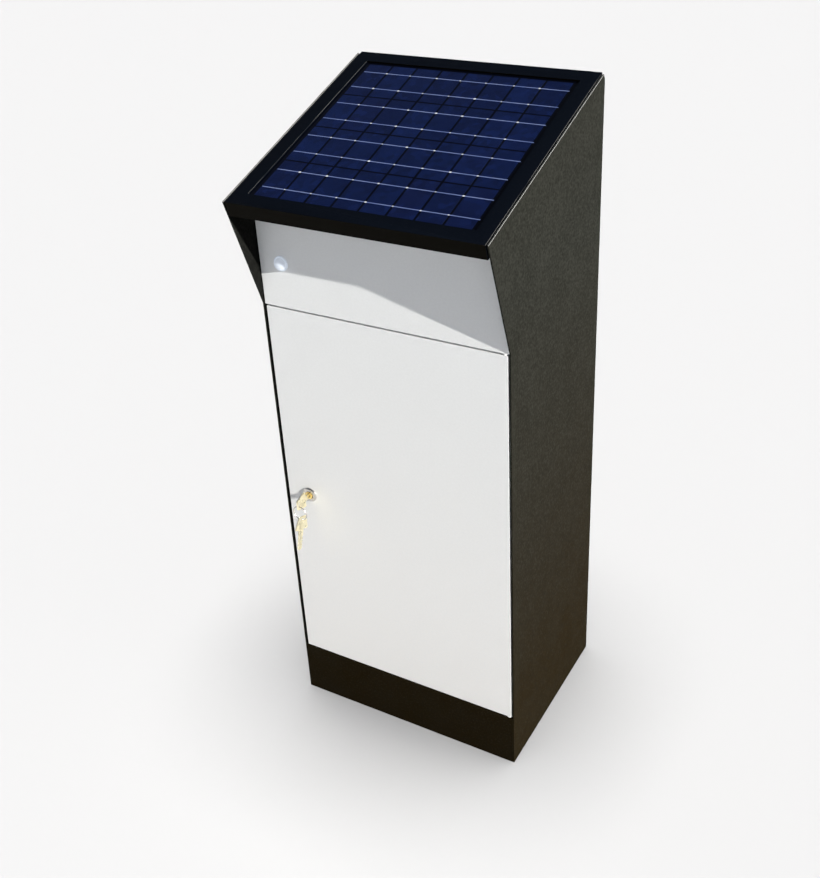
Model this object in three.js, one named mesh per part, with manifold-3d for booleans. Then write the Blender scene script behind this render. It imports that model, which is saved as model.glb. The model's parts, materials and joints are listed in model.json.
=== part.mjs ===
// Solar battery box: a free-standing sheet-metal pedestal with a photovoltaic panel for a
// sloping roof, a motion sensor under the eave, a locked door, and a battery, a charge
// controller and a breaker inside. Millimetres, +X to the right, +Y to the back, +Z up.
// The origin is at the middle of the footprint, on the ground.
import * as THREE from 'three';
import { mergeVertices } from 'three/addons/utils/BufferGeometryUtils.js';
import Module from 'manifold-3d';

const wasm = await Module();
wasm.setup();

// ---- driving dimensions ---------------------------------------------------------------

const WIDTH = 380;
const CABINET_DEPTH = 294;
const EAVE = 57; // how far the lip of the roof stands out past the door
const KNEE_HEIGHT = 716; // where the side walls start to lean forward
const LIP_HEIGHT = 884;
const TOTAL_HEIGHT = 993;
const SHEET = 2; // thickness of the black sheet metal
const WHITE_SHEET = 1.5; // thickness of the door and fascia sheet
const TOUCH = 0.3; // clearance between faces that touch

const HALF = WIDTH / 2;
const LIP = -(CABINET_DEPTH + EAVE) / 2; // y of the lip, the frontmost point
const FRONT = LIP + EAVE; // y of the outer face of the door
const BACK = -LIP; // y of the back
const WALL = HALF - SHEET; // x of the inner face of a side wall
const INNER = WALL - TOUCH; // x that the cross members reach
const SLOPE = Math.atan2(TOTAL_HEIGHT - LIP_HEIGHT, BACK - LIP);
const ROOF_LENGTH = Math.hypot(TOTAL_HEIGHT - LIP_HEIGHT, BACK - LIP);

const CORNER_CHAMFER = { back: 4, down: 8 }; // off each wall's upper rear corner

const KICK_TOP = 92;
const DOOR_BOTTOM = 94.5;
const DOOR_TOP = 713;
const DOOR_LEFT = -HALF + 6.2;
const DOOR_RIGHT = HALF - 4.4;
const DOOR_RETURN = 12; // depth of the door's folded edges
const HINGE_X = DOOR_RIGHT - 4;
const HINGE_Y = FRONT + 4.5;
const PIN_RADIUS = 1.75;
const PIN_HOLE = 2.1;
const PIN_CAP = 2.3;

const JAMB_FACE = FRONT + 14.5; // y of the faces that the door's seal presses on
const JAMB_EDGE = 170; // half the clear width between the jambs
const FASCIA_LEFT = -INNER + 2; // the fascia stops short of the left wall, as the door does
const FLOOR = 80; // z of the top of the base plate
const BACK_INNER = BACK - 4.3; // y of the inner face of the back panel

const FRAME_HEIGHT = 22; // of the panel frame, square to the roof
const FRAME_BORDER = 22;
const FRAME_HALF = WALL - 2;
const LAMINATE_TOP = -SHEET - TOUCH;
const LAMINATE_THICKNESS = 4;

const LOCK_X = -145.8;
const LOCK_Z = 406;
const LOCK_NOSE = FRONT - 3.8; // y of the front of the lock's plug
const LOCK_END = FRONT + 27; // y of the back of the plug
const PLUG_RADIUS = 6.1;
const CAM_REACH = 33;

const KEY_THICKNESS = 2.2;
const BOW_LENGTH = 21.5;
const BOW_BASE = 13; // half width of the bow next to the blade
const BOW_END = 8; // half width of the bow at its outer end
const BLADE_LENGTH = 35;
const BLADE_HALF = 4;
const KEY_SLOT_FROM_END = 5; // middle of the bow's slot, from the bow's outer end
const KEY_SLOT_HALF_WIDTH = 1.8;
const KEY_SLOT_HALF_LENGTH = 5.5;
const RING_RADIUS = 11.5;
const RING_WIRE = 0.8;

const PIR_X = -150.6;
const PIR_Z = 782;
const PIR_RADIUS = 11;

const PLATE_FACE = 158; // y of the front face of the equipment plate
const BATTERY = { width: 196, depth: 131, height: 156, front: 12 };

// ---- materials ------------------------------------------------------------------------

const finish = (color, roughness, metalness) => () =>
  new THREE.MeshStandardMaterial({ color, roughness, metalness });

const blackCoat = finish(0x1c1b19, 0.6, 0.1);
const whiteCoat = finish(0xe6e5e3, 0.45, 0.05);
const zinc = finish(0xa9adb0, 0.4, 0.85);
const chrome = finish(0xc9c9c8, 0.15, 1);
const brass = finish(0xc9a54a, 0.3, 1);
const blackPlastic = finish(0x202124, 0.5, 0);
const greyPlastic = finish(0x9fa4a8, 0.5, 0);
const whitePlastic = finish(0xe9edf2, 0.35, 0);
const rubber = finish(0x141414, 0.85, 0);
const solarGlass = finish(0x14205a, 0.12, 0.1);
const redPlastic = finish(0xa81d1a, 0.45, 0);

// ---- solids ---------------------------------------------------------------------------

// A closed geometry as a solid that can be joined and cut.
function solid(geometry) {
  const bare = geometry.clone();
  bare.deleteAttribute('normal');
  bare.deleteAttribute('uv');
  const merged = mergeVertices(bare, 1e-4);
  const vertProperties = new Float32Array(merged.attributes.position.array);
  const corners = merged.index.array;
  const kept = [];
  for (let i = 0; i < corners.length; i += 3) {
    const [a, b, c] = corners.slice(i, i + 3);
    if (a !== b && b !== c && c !== a) kept.push(a, b, c); // a pole has folded triangles
  }
  const triVerts = new Uint32Array(kept);
  return new wasm.Manifold(new wasm.Mesh({ numProp: 3, vertProperties, triVerts }));
}

function geometryOf(shape) {
  const mesh = shape.getMesh();
  const geometry = new THREE.BufferGeometry();
  geometry.setAttribute('position', new THREE.BufferAttribute(new Float32Array(mesh.vertProperties), 3));
  geometry.setIndex(new THREE.BufferAttribute(new Uint32Array(mesh.triVerts), 1));
  geometry.computeVertexNormals();
  return geometry;
}

const join = (first, ...others) => others.reduce((sum, part) => sum.add(part), first);
const cut = (first, ...others) => others.reduce((rest, part) => rest.subtract(part), first);

// A box between two corners, given as ranges along x, y and z.
function box([x0, x1], [y0, y1], [z0, z1]) {
  const geometry = new THREE.BoxGeometry(x1 - x0, y1 - y0, z1 - z0);
  geometry.translate((x0 + x1) / 2, (y0 + y1) / 2, (z0 + z1) / 2);
  return solid(geometry);
}

// Turns a shape drawn in its own plane and extruded along its third axis so that the
// extrusion runs along x (drawn in y, z), y (drawn in x, z) or z (drawn in x, y).
const X = new THREE.Vector3(1, 0, 0);
const Y = new THREE.Vector3(0, 1, 0);
const Z = new THREE.Vector3(0, 0, 1);
const TURNS = {
  x: new THREE.Matrix4().makeBasis(Y, Z, X),
  y: new THREE.Matrix4().makeBasis(X, Z, Y.clone().negate()),
  z: new THREE.Matrix4(),
};

function prism(axis, outline, from, to, curveSegments = 6) {
  const shape = outline instanceof THREE.Shape
    ? outline
    : new THREE.Shape(outline.map(([a, b]) => new THREE.Vector2(a, b)));
  const geometry = new THREE.ExtrudeGeometry(shape, { depth: to - from, bevelEnabled: false, curveSegments });
  geometry.applyMatrix4(TURNS[axis]);
  const start = axis === 'y' ? to : from;
  geometry.translate(axis === 'x' ? start : 0, axis === 'y' ? start : 0, axis === 'z' ? start : 0);
  return solid(geometry);
}

// A round bar along an axis. The centre is given as its two other coordinates, in order.
function bar(axis, [a, b], radius, from, to, sides = 24) {
  const geometry = new THREE.CylinderGeometry(radius, radius, to - from, sides);
  const middle = (from + to) / 2;
  if (axis === 'x') {
    geometry.rotateZ(Math.PI / 2);
    geometry.translate(middle, a, b);
  } else if (axis === 'y') {
    geometry.translate(a, middle, b);
  } else {
    geometry.rotateX(Math.PI / 2);
    geometry.translate(a, b, middle);
  }
  return solid(geometry);
}

// A body turned round the y axis through (x, z). The outline of [radius, y] points runs
// anticlockwise, and either closes on itself or starts and ends on the axis.
function turned([x, z], outline, sides = 28) {
  const points = outline.map(([r, y]) => new THREE.Vector2(r, y));
  if (outline[0][0] > 0) points.push(points[0]);
  const geometry = new THREE.LatheGeometry(points, sides);
  geometry.translate(x, 0, z);
  return solid(geometry);
}

// An outline with straight sides and round ends, long along its first axis.
function slotOutline(centreA, centreB, halfLength, radius) {
  const shape = new THREE.Shape();
  const reach = halfLength - radius;
  shape.absarc(centreA + reach, centreB, radius, -Math.PI / 2, Math.PI / 2, false);
  shape.absarc(centreA - reach, centreB, radius, Math.PI / 2, Math.PI * 1.5, false);
  return shape;
}

function roundedRectangle(a0, a1, b0, b1, radius) {
  const shape = new THREE.Shape();
  shape.absarc(a1 - radius, b1 - radius, radius, 0, Math.PI / 2, false);
  shape.absarc(a0 + radius, b1 - radius, radius, Math.PI / 2, Math.PI, false);
  shape.absarc(a0 + radius, b0 + radius, radius, Math.PI, Math.PI * 1.5, false);
  shape.absarc(a1 - radius, b0 + radius, radius, Math.PI * 1.5, Math.PI * 2, false);
  return shape;
}

// A wire of round section through hand-chosen points.
function wire(points, radius, steps, sides = 8) {
  const path = new THREE.CatmullRomCurve3(points.map((p) => new THREE.Vector3(...p)), false, 'centripetal');
  const section = new THREE.Shape();
  section.absarc(0, 0, radius, 0, Math.PI * 2, false);
  const geometry = new THREE.ExtrudeGeometry(section, { extrudePath: path, steps, curveSegments: sides / 2 });
  return solid(geometry);
}

// Height of the roof surface above the ground at a given y, and its drop square to itself.
const roofAt = (y, drop = 0) => LIP_HEIGHT + (y - LIP) * Math.tan(SLOPE) - drop / Math.cos(SLOPE);

// ---- the assembly ---------------------------------------------------------------------

const batteryBox = new THREE.Group();
const roof = new THREE.Group(); // x across, y up the slope from the lip, z square to it
roof.position.set(0, LIP, LIP_HEIGHT);
roof.rotation.x = SLOPE;
batteryBox.add(roof);

function add(name, shape, material, parent = batteryBox) {
  const geometry = shape instanceof THREE.BufferGeometry ? shape : geometryOf(shape);
  const mesh = new THREE.Mesh(geometry, material());
  mesh.name = name;
  parent.add(mesh);
  return mesh;
}

// ---- housing --------------------------------------------------------------------------

const BACK_FLANGE = 18;
const GROUND_FLANGE = 25;
const ANCHOR_RADIUS = 4.5;

// A side wall: the flat sheet with its leaning front edge and chamfered rear corner, a flange
// folded in behind that stops short of the roof, and one on the ground with two anchor holes.
function sidePanel(side) {
  const span = (inner, outer) => (side < 0 ? [-outer, -inner] : [inner, outer]);
  const chamferY = BACK - CORNER_CHAMFER.back;
  const outline = [
    [FRONT, 0], [BACK, 0], [BACK, TOTAL_HEIGHT - CORNER_CHAMFER.down], [chamferY, roofAt(chamferY)],
    [LIP, LIP_HEIGHT], [FRONT, KNEE_HEIGHT],
  ];
  const sheet = prism('x', outline, ...span(WALL, HALF));
  const rear = box(span(HALF - BACK_FLANGE, HALF), [BACK - SHEET, BACK], [0, 966]);
  const ground = box(span(HALF - GROUND_FLANGE, HALF), [FRONT + SHEET + TOUCH, BACK], [0, SHEET]);
  const anchors = [-60, 120].map((y) =>
    bar('z', [side * (HALF - 14), y], ANCHOR_RADIUS, -1, SHEET + 1, 16));
  return cut(join(sheet, rear, ground), ...anchors);
}

add('left_side_panel', sidePanel(-1), blackCoat);
add('right_side_panel', sidePanel(1), blackCoat);

// The back panel lies inside the side walls' rear flanges, with vent slots high and low. Its
// top edge is narrower, to reach up inside the panel frame.
function backPanel() {
  const depth = [BACK_INNER, BACK_INNER + SHEET];
  const tongueHalf = FRAME_HALF - SHEET - TOUCH;
  const sheet = join(
    box([-INNER, INNER], depth, [3, 964]),
    box([-tongueHalf, tongueHalf], depth, [964, 974]),
  );
  const slots = [];
  for (const lowest of [112, 868]) {
    for (let row = 0; row < 5; row += 1) {
      for (const x of [-50, 50]) {
        const outline = slotOutline(x, lowest + row * 14, 38, 3);
        slots.push(prism('y', outline, BACK_INNER - 1, BACK_INNER + SHEET + 1, 3));
      }
    }
  }
  return cut(sheet, ...slots);
}

add('back_panel', backPanel(), blackCoat);

// The kick plate under the door: its top edge is folded back as the door's sill and holds
// the lower hinge pin; its bottom edge is folded back along the ground.
function kickPlate() {
  const face = box([-INNER, INNER], [FRONT, FRONT + SHEET], [0, KICK_TOP]);
  const sill = box([-INNER, INNER], [FRONT, FRONT + 14], [KICK_TOP - SHEET, KICK_TOP]);
  const foot = box([-160, 160], [FRONT, FRONT + 26], [0, SHEET]);
  const pinHole = bar('z', [HINGE_X, HINGE_Y], PIN_HOLE, KICK_TOP - SHEET - 1, KICK_TOP + 1, 16);
  return cut(join(face, sill, foot), pinHole);
}

add('kick_plate', kickPlate(), blackCoat);

// The floor of the cabinet: a tray turned down all round, with a cable entry and drains.
const GLAND = { x: 152, y: 138, radius: 10 };

function basePlate() {
  const front = FRONT + 16;
  const rear = BACK_INNER - TOUCH;
  const outer = box([-INNER, INNER], [front, rear], [FLOOR - 16, FLOOR]);
  const hollowHalf = INNER - SHEET;
  const hollow = box([-hollowHalf, hollowHalf], [front + SHEET, rear - SHEET], [FLOOR - 20, FLOOR - SHEET]);
  const entry = bar('z', [GLAND.x, GLAND.y], GLAND.radius + TOUCH, FLOOR - 10, FLOOR + 1);
  const drains = [-165, 165].map((x) => bar('z', [x, -80], 3, FLOOR - 10, FLOOR + 1, 12));
  return cut(outer, hollow, entry, ...drains);
}

add('base_plate', basePlate(), blackCoat);

// The fascia above the door, with the sensor's hole and a lower edge folded back, in which
// the upper hinge pin hangs.
function fascia() {
  const face = box([FASCIA_LEFT, INNER], [FRONT, FRONT + WHITE_SHEET], [KNEE_HEIGHT, 876]);
  const fold = box([FASCIA_LEFT, INNER], [FRONT, FRONT + 15], [KNEE_HEIGHT, KNEE_HEIGHT + WHITE_SHEET]);
  const sensor = bar('y', [PIR_X, PIR_Z], PIR_RADIUS - 1, FRONT - 1, FRONT + 3, 32);
  const pinHole = bar('z', [HINGE_X, HINGE_Y], PIN_HOLE, KNEE_HEIGHT - 1, KNEE_HEIGHT + 3, 16);
  return cut(join(face, fold), sensor, pinHole);
}

add('fascia_panel', fascia(), whiteCoat);

// The soffit closes the eave from the fascia to the lip, just under the panel frame.
const underFrame = -FRAME_HEIGHT - TOUCH;
add('soffit_panel', box([-INNER, INNER], [7, 76], [underFrame - SHEET, underFrame]), blackCoat, roof);

// Angles that the roof rests on, one on each wall.
function roofRail(side) {
  const span = (inner, outer) => (side < 0 ? [-outer, -inner] : [inner, outer]);
  const reach = [80, ROOF_LENGTH - 24];
  const shelf = box(span(WALL - 24, WALL - TOUCH), reach, [underFrame - SHEET, underFrame]);
  const leg = box(span(WALL - TOUCH - SHEET, WALL - TOUCH), reach, [underFrame - 20, underFrame]);
  return join(shelf, leg);
}

add('left_roof_rail', roofRail(-1), zinc, roof);
add('right_roof_rail', roofRail(1), zinc, roof);

// The door's landing: two jambs on the walls, and a head and a sill rail between them.
function jamb(side) {
  const span = (inner, outer) => (side < 0 ? [-outer, -inner] : [inner, outer]);
  const height = [KICK_TOP + TOUCH, KNEE_HEIGHT - TOUCH];
  const face = box(span(JAMB_EDGE, WALL - TOUCH), [JAMB_FACE, JAMB_FACE + SHEET], height);
  const leg = box(span(WALL - TOUCH - SHEET, WALL - TOUCH), [JAMB_FACE, JAMB_FACE + 26], height);
  return join(face, leg);
}

function crossRail(z0, z1, legAt) {
  const half = JAMB_EDGE - TOUCH;
  const face = box([-half, half], [JAMB_FACE, JAMB_FACE + SHEET], [z0, z1]);
  const leg = box([-half, half], [JAMB_FACE, JAMB_FACE + 22], [legAt, legAt + SHEET]);
  return join(face, leg);
}

add('left_jamb', jamb(-1), blackCoat);
add('right_jamb', jamb(1), blackCoat);
add('head_rail', crossRail(694, 714, 712), blackCoat);
add('sill_rail', crossRail(FLOOR + TOUCH, 112, FLOOR + TOUCH), blackCoat);

// Hinge pins with their nylon washers, in the gaps below and above the door.
function hingePin(head, tip) {
  const up = tip > head;
  const cap = bar('z', [HINGE_X, HINGE_Y], PIN_CAP, up ? head - 2 : head, up ? head : head + 2, 16);
  const shank = bar('z', [HINGE_X, HINGE_Y], PIN_RADIUS, Math.min(head, tip), Math.max(head, tip), 16);
  return join(cap, shank);
}

function hingeWasher(z0, z1) {
  const disc = bar('z', [HINGE_X, HINGE_Y], 4.2, z0, z1, 24);
  return cut(disc, bar('z', [HINGE_X, HINGE_Y], PIN_HOLE, z0 - 1, z1 + 1, 16));
}

add('lower_hinge_pin', hingePin(KICK_TOP - SHEET - TOUCH, DOOR_BOTTOM + 8), zinc);
add('upper_hinge_pin', hingePin(KNEE_HEIGHT + WHITE_SHEET + TOUCH, DOOR_TOP - 8), zinc);
add('lower_hinge_washer', hingeWasher(KICK_TOP + TOUCH, DOOR_BOTTOM - TOUCH), whitePlastic);
add('upper_hinge_washer', hingeWasher(DOOR_TOP + TOUCH, KNEE_HEIGHT - TOUCH), whitePlastic);

// ---- roof: frame, laminate and junction box -------------------------------------------

// The frame is a tray without a bottom: a border round the glass, a front skirt square to
// the slope, side skirts, and a vertical rear skirt in line with the back.
function panelFrame() {
  const outline = (inset, bottom) => {
    const lipY = LIP + inset * Math.cos(SLOPE);
    const rearY = BACK - inset;
    const footY = lipY + (FRAME_HEIGHT + bottom) * Math.sin(SLOPE);
    return [
      [lipY + inset * Math.sin(SLOPE), roofAt(lipY, inset) + inset * Math.sin(SLOPE) * Math.tan(SLOPE)],
      [rearY, roofAt(rearY, inset)],
      [rearY, roofAt(rearY, FRAME_HEIGHT + bottom)],
      [footY, roofAt(footY, FRAME_HEIGHT + bottom)],
    ];
  };
  const outer = prism('x', outline(0, 0), -FRAME_HALF, FRAME_HALF);
  const hollow = prism('x', outline(SHEET, 5), -FRAME_HALF + SHEET, FRAME_HALF - SHEET);
  return cut(outer, hollow);
}

const opening = new THREE.BoxGeometry(
  2 * (FRAME_HALF - FRAME_BORDER), ROOF_LENGTH - 2 * FRAME_BORDER - 2, 20);
opening.translate(0, ROOF_LENGTH / 2, 0);
roof.updateMatrixWorld(true);
opening.applyMatrix4(roof.matrixWorld);
add('panel_frame', cut(panelFrame(), solid(opening)), blackCoat);

const laminate = [LAMINATE_TOP - LAMINATE_THICKNESS, LAMINATE_TOP];
add('pv_laminate', box([-FRAME_HALF + 5, FRAME_HALF - 5], [6, ROOF_LENGTH - 9], laminate), solarGlass, roof);

const JUNCTION = { x: 0, s: 262, bottom: laminate[0] - TOUCH };

function junctionBox() {
  const { x, s, bottom } = JUNCTION;
  const body = prism('z', roundedRectangle(x - 38, x + 38, s - 28, s + 28, 4), bottom - 16, bottom);
  const hollow = box([x - 35.5, x + 35.5], [s - 25.5, s + 25.5], [bottom - 20, bottom - 2]);
  const leadHoles = [-14, 14].map((dx) => bar('y', [x + dx, bottom - 9], 3, s + 20, s + 35, 12));
  return cut(body, hollow, ...leadHoles);
}

add('junction_box', junctionBox(), blackPlastic, roof);
const lidTop = JUNCTION.bottom - 16 - TOUCH;
const lidOutline = roundedRectangle(JUNCTION.x - 38, JUNCTION.x + 38, JUNCTION.s - 28, JUNCTION.s + 28, 4);
add('junction_box_lid', prism('z', lidOutline, lidTop - 3, lidTop), blackPlastic, roof);

// ---- motion sensor in the fascia ------------------------------------------------------

// A rim that clips round the fascia's hole and a thin dome in front of it, in one moulding.
function sensorLens() {
  const rim = FRONT - TOUCH;
  const domeRadius = PIR_RADIUS - 1.8;
  const steps = 5;
  const arc = (radius, rise, base) => Array.from({ length: steps + 1 }, (_, i) => {
    const turn = (i / steps) * (Math.PI / 2);
    return [radius * Math.sin(turn), base - rise * Math.cos(turn)];
  });
  const outside = arc(domeRadius, 7, rim - 2);
  const inside = arc(domeRadius - 1.2, 6.6, rim - 1).reverse();
  outside[0][0] = 0;
  inside[steps][0] = 0;
  const edge = [
    [PIR_RADIUS - 1, rim - 2], [PIR_RADIUS, rim - 1.2], [PIR_RADIUS, rim], [domeRadius - 1.2, rim],
  ];
  return turned([PIR_X, PIR_Z], [...outside, ...edge, ...inside], 24);
}

add('sensor_lens', sensorLens(), whitePlastic);

const SENSOR_BACK = FRONT + 22;
const sensorBody = join(
  bar('y', [PIR_X, PIR_Z], 4.2, FRONT - 2.5, FRONT + 6, 20),
  box([PIR_X - 15, PIR_X + 15], [FRONT + 3, SENSOR_BACK], [PIR_Z - 17, PIR_Z + 17]),
);
add('sensor_module', sensorBody, blackPlastic);

// ---- door -----------------------------------------------------------------------------

function doorPanel() {
  const outer = box([DOOR_LEFT, DOOR_RIGHT], [FRONT, FRONT + DOOR_RETURN], [DOOR_BOTTOM, DOOR_TOP]);
  const hollow = box(
    [DOOR_LEFT + WHITE_SHEET, DOOR_RIGHT - WHITE_SHEET],
    [FRONT + WHITE_SHEET, FRONT + DOOR_RETURN + 1],
    [DOOR_BOTTOM + WHITE_SHEET, DOOR_TOP - WHITE_SHEET],
  );
  const lockHole = bar('y', [LOCK_X, LOCK_Z], 9.8, FRONT - 1, FRONT + 3, 32);
  const pinHoles = [DOOR_BOTTOM, DOOR_TOP - WHITE_SHEET].map((z) =>
    bar('z', [HINGE_X, HINGE_Y], PIN_HOLE, z - 0.5, z + WHITE_SHEET + 0.5, 16));
  return cut(outer, hollow, lockHole, ...pinHoles);
}

add('door_panel', doorPanel(), whiteCoat);

// A top-hat stiffener down the middle of the door's inner face.
const STIFFENER = { half: 34, crown: 18, depth: 9 };

function doorStiffener() {
  const y = FRONT + WHITE_SHEET + TOUCH;
  const { half, crown, depth } = STIFFENER;
  const outline = [
    [-half, y], [-crown + 1, y], [-crown + 1, y + depth - 1.5], [crown - 1, y + depth - 1.5], [crown - 1, y],
    [half, y], [half, y + 1.5], [crown + 0.5, y + 1.5], [crown + 0.5, y + depth], [-crown - 0.5, y + depth],
    [-crown - 0.5, y + 1.5], [-half, y + 1.5],
  ];
  return prism('z', outline, 130, 678);
}

add('door_stiffener', doorStiffener(), whiteCoat);

// The seal: a rubber ring inside the door's folded edge that lands on the jambs and rails.
function doorSeal() {
  const depth = [FRONT + WHITE_SHEET + TOUCH, JAMB_FACE - TOUCH];
  const outer = box([DOOR_LEFT + 2.8, HINGE_X - 2.3], depth, [DOOR_BOTTOM + 3, DOOR_TOP - 3]);
  const opening = box([-172, 170.5], [depth[0] - 1, depth[1] + 1], [DOOR_BOTTOM + 12, DOOR_TOP - 12]);
  return cut(outer, opening);
}

add('door_seal', doorSeal(), rubber);

// ---- cam lock and keys ----------------------------------------------------------------

const LOCK = [LOCK_X, LOCK_Z];

// The body: a low domed rim outside, and a barrel through the door.
const lockBody = turned(LOCK, [
  [PLUG_RADIUS + TOUCH, LOCK_NOSE + 0.6], [8.8, LOCK_NOSE + 0.6], [11, FRONT - 2], [12, FRONT - 1.2],
  [12, FRONT - TOUCH], [9.4, FRONT - TOUCH], [9.4, LOCK_END - 1],
  [PLUG_RADIUS + TOUCH, LOCK_END - 1],
]);
add('lock_body', lockBody, chrome);

function lockNut() {
  const y = FRONT + WHITE_SHEET + TOUCH;
  const hexagon = bar('y', LOCK, 14, y, y + 4, 6);
  return cut(hexagon, bar('y', LOCK, 9.7, y - 1, y + 5, 32));
}

add('lock_nut', lockNut(), zinc);

// The plug turns in the body. It has a keyway in front and a threaded hole behind.
const lockPlug = cut(
  bar('y', LOCK, PLUG_RADIUS, LOCK_NOSE, LOCK_END, 32),
  box([LOCK_X - 1.4, LOCK_X + 1.4], [LOCK_NOSE - 1, LOCK_END - 5.2], [LOCK_Z - 4.4, LOCK_Z + 4.4]),
);
const screwHole = bar('y', LOCK, 2.3, LOCK_END - 5.2, LOCK_END + 1, 16);
add('lock_plug', cut(lockPlug, screwHole), brass);

// The cam is cranked forward so that its tongue passes just behind the left jamb. It hangs
// straight down when the lock is open and points at the jamb when it is locked.
const CAM_FACE = LOCK_END + TOUCH;
const TONGUE_FACE = JAMB_FACE + SHEET + 0.6;

function lockCam() {
  const hub = bar('y', LOCK, 7.5, CAM_FACE, CAM_FACE + 2, 24);
  const arm = box([LOCK_X - 6.5, LOCK_X + 6.5], [CAM_FACE, CAM_FACE + 2], [LOCK_Z - 14, LOCK_Z]);
  const crank = box([LOCK_X - 6.5, LOCK_X + 6.5], [TONGUE_FACE, CAM_FACE + 2], [LOCK_Z - 16, LOCK_Z - 14]);
  const tongue = box(
    [LOCK_X - 6.5, LOCK_X + 6.5], [TONGUE_FACE, TONGUE_FACE + 2], [LOCK_Z - CAM_REACH, LOCK_Z - 14]);
  return cut(join(hub, arm, crank, tongue), bar('y', LOCK, 2.6, CAM_FACE - 1, CAM_FACE + 3, 16));
}

add('lock_cam', lockCam(), zinc);
const screwSeat = CAM_FACE + 2 + TOUCH;
const camScrew = join(
  bar('y', LOCK, 4.5, screwSeat, screwSeat + 3, 20),
  bar('y', LOCK, 2, LOCK_END - 4.8, screwSeat + 1, 16),
);
add('cam_screw', camScrew, zinc);

// A key lying in the y-z plane with its blade along +y from the shoulder at y = 0 and its
// bow along -y: wide at the shoulder, narrower at the outer end, with one cross slot.
function keySolid() {
  const notches = [];
  for (let i = 0; i < 4; i += 1) {
    const y = BLADE_LENGTH - 7 - i * 5;
    notches.push([y + 1.6, BLADE_HALF], [y, BLADE_HALF - 1.2 - 0.5 * (i % 2)], [y - 1.6, BLADE_HALF]);
  }
  const outline = [
    [-BOW_LENGTH, -BOW_END + 1.5], [-BOW_LENGTH + 1.5, -BOW_END], [-1.5, -BOW_BASE], [0, -BOW_BASE + 1.5],
    [0, -BLADE_HALF], [BLADE_LENGTH - 3, -BLADE_HALF], [BLADE_LENGTH, 0], [BLADE_LENGTH - 3, BLADE_HALF],
    ...notches,
    [0, BLADE_HALF], [0, BOW_BASE - 1.5], [-1.5, BOW_BASE], [-BOW_LENGTH + 1.5, BOW_END],
    [-BOW_LENGTH, BOW_END - 1.5],
  ];
  const half = KEY_THICKNESS / 2;
  const slot = new THREE.Shape();
  const middle = -BOW_LENGTH + KEY_SLOT_FROM_END;
  const reach = KEY_SLOT_HALF_LENGTH - KEY_SLOT_HALF_WIDTH;
  slot.absarc(middle, reach, KEY_SLOT_HALF_WIDTH, 0, Math.PI, false);
  slot.absarc(middle, -reach, KEY_SLOT_HALF_WIDTH, Math.PI, Math.PI * 2, false);
  return cut(prism('x', outline, -half, half), prism('x', slot, -half - 1, half + 1));
}

const KEY_SHOULDER = FRONT - 13.5; // y of the bow's inner end, with the blade fully in
const keyInLock = add('key_in_lock', keySolid(), brass);
keyInLock.position.set(LOCK_X, KEY_SHOULDER, LOCK_Z);

// The ring passes through the slot of the key in the lock and hangs from its lower end,
// parallel to the door.
const RING_Y = KEY_SHOULDER - BOW_LENGTH + KEY_SLOT_FROM_END;
const RING_Z = LOCK_Z - KEY_SLOT_HALF_LENGTH + 0.6 - (RING_RADIUS - RING_WIRE);
const ringGeometry = new THREE.TorusGeometry(RING_RADIUS, RING_WIRE, 8, 32);
const keyRing = add('key_ring', geometryOf(solid(ringGeometry)), chrome);
keyRing.rotation.x = Math.PI / 2;
keyRing.position.set(LOCK_X, RING_Y, RING_Z);

// The spare key hangs from the bottom of the ring by one end of its slot, tip down.
const SPARE_TURN = THREE.MathUtils.degToRad(-9);
const SPARE_TILT = THREE.MathUtils.degToRad(15);
const SPARE_OFFSET = 3.2; // from the middle of the slot to the ring's wire
const spareShape = geometryOf(keySolid());
spareShape.translate(0, BOW_LENGTH - KEY_SLOT_FROM_END, 0);
spareShape.rotateX(-Math.PI / 2);
spareShape.translate(0, SPARE_OFFSET, -0.55);
const spareKey = add('spare_key', spareShape, brass);
spareKey.rotation.set(-SPARE_TILT, 0, SPARE_TURN, 'ZYX');
spareKey.position.set(LOCK_X, RING_Y, RING_Z - RING_RADIUS);

// ---- battery --------------------------------------------------------------------------

const batterySpan = {
  x: [-BATTERY.width / 2, BATTERY.width / 2],
  y: [BATTERY.front, BATTERY.front + BATTERY.depth],
};
const TRAY_TOP = FLOOR + TOUCH + SHEET;
const CASE_TOP = TRAY_TOP + TOUCH + BATTERY.height;
const LID_TOP = CASE_TOP + TOUCH + 16;
const CLAMP_Y = batterySpan.y[1] - 28;
const ROD_X = BATTERY.width / 2 + 9;

// The tray has a low lip all round and an ear on each side for the hold-down rods.
function batteryTray() {
  const [x0, x1] = batterySpan.x;
  const [y0, y1] = batterySpan.y;
  const bottom = FLOOR + TOUCH;
  const outer = box([x0 - 2.8, x1 + 2.8], [y0 - 2.8, y1 + 2.8], [bottom, bottom + 14]);
  const hollow = box([x0 - 0.8, x1 + 0.8], [y0 - 0.8, y1 + 0.8], [TRAY_TOP, bottom + 20]);
  const ears = box([x0 - 20, x1 + 20], [CLAMP_Y - 11, CLAMP_Y + 11], [bottom, TRAY_TOP]);
  const rodHoles = [-ROD_X, ROD_X].map((x) => bar('z', [x, CLAMP_Y], 3.4, bottom - 1, TRAY_TOP + 1, 16));
  return cut(join(cut(outer, hollow), ears), ...rodHoles);
}

add('battery_tray', batteryTray(), zinc);

function batteryCase() {
  const outline = roundedRectangle(...batterySpan.x, ...batterySpan.y, 5);
  return prism('z', outline, TRAY_TOP + TOUCH, CASE_TOP, 4);
}

add('battery_case', batteryCase(), greyPlastic);

const TERMINALS = { positive: 72, negative: -72 };
const TERMINAL_Y = BATTERY.front + 26;

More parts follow.
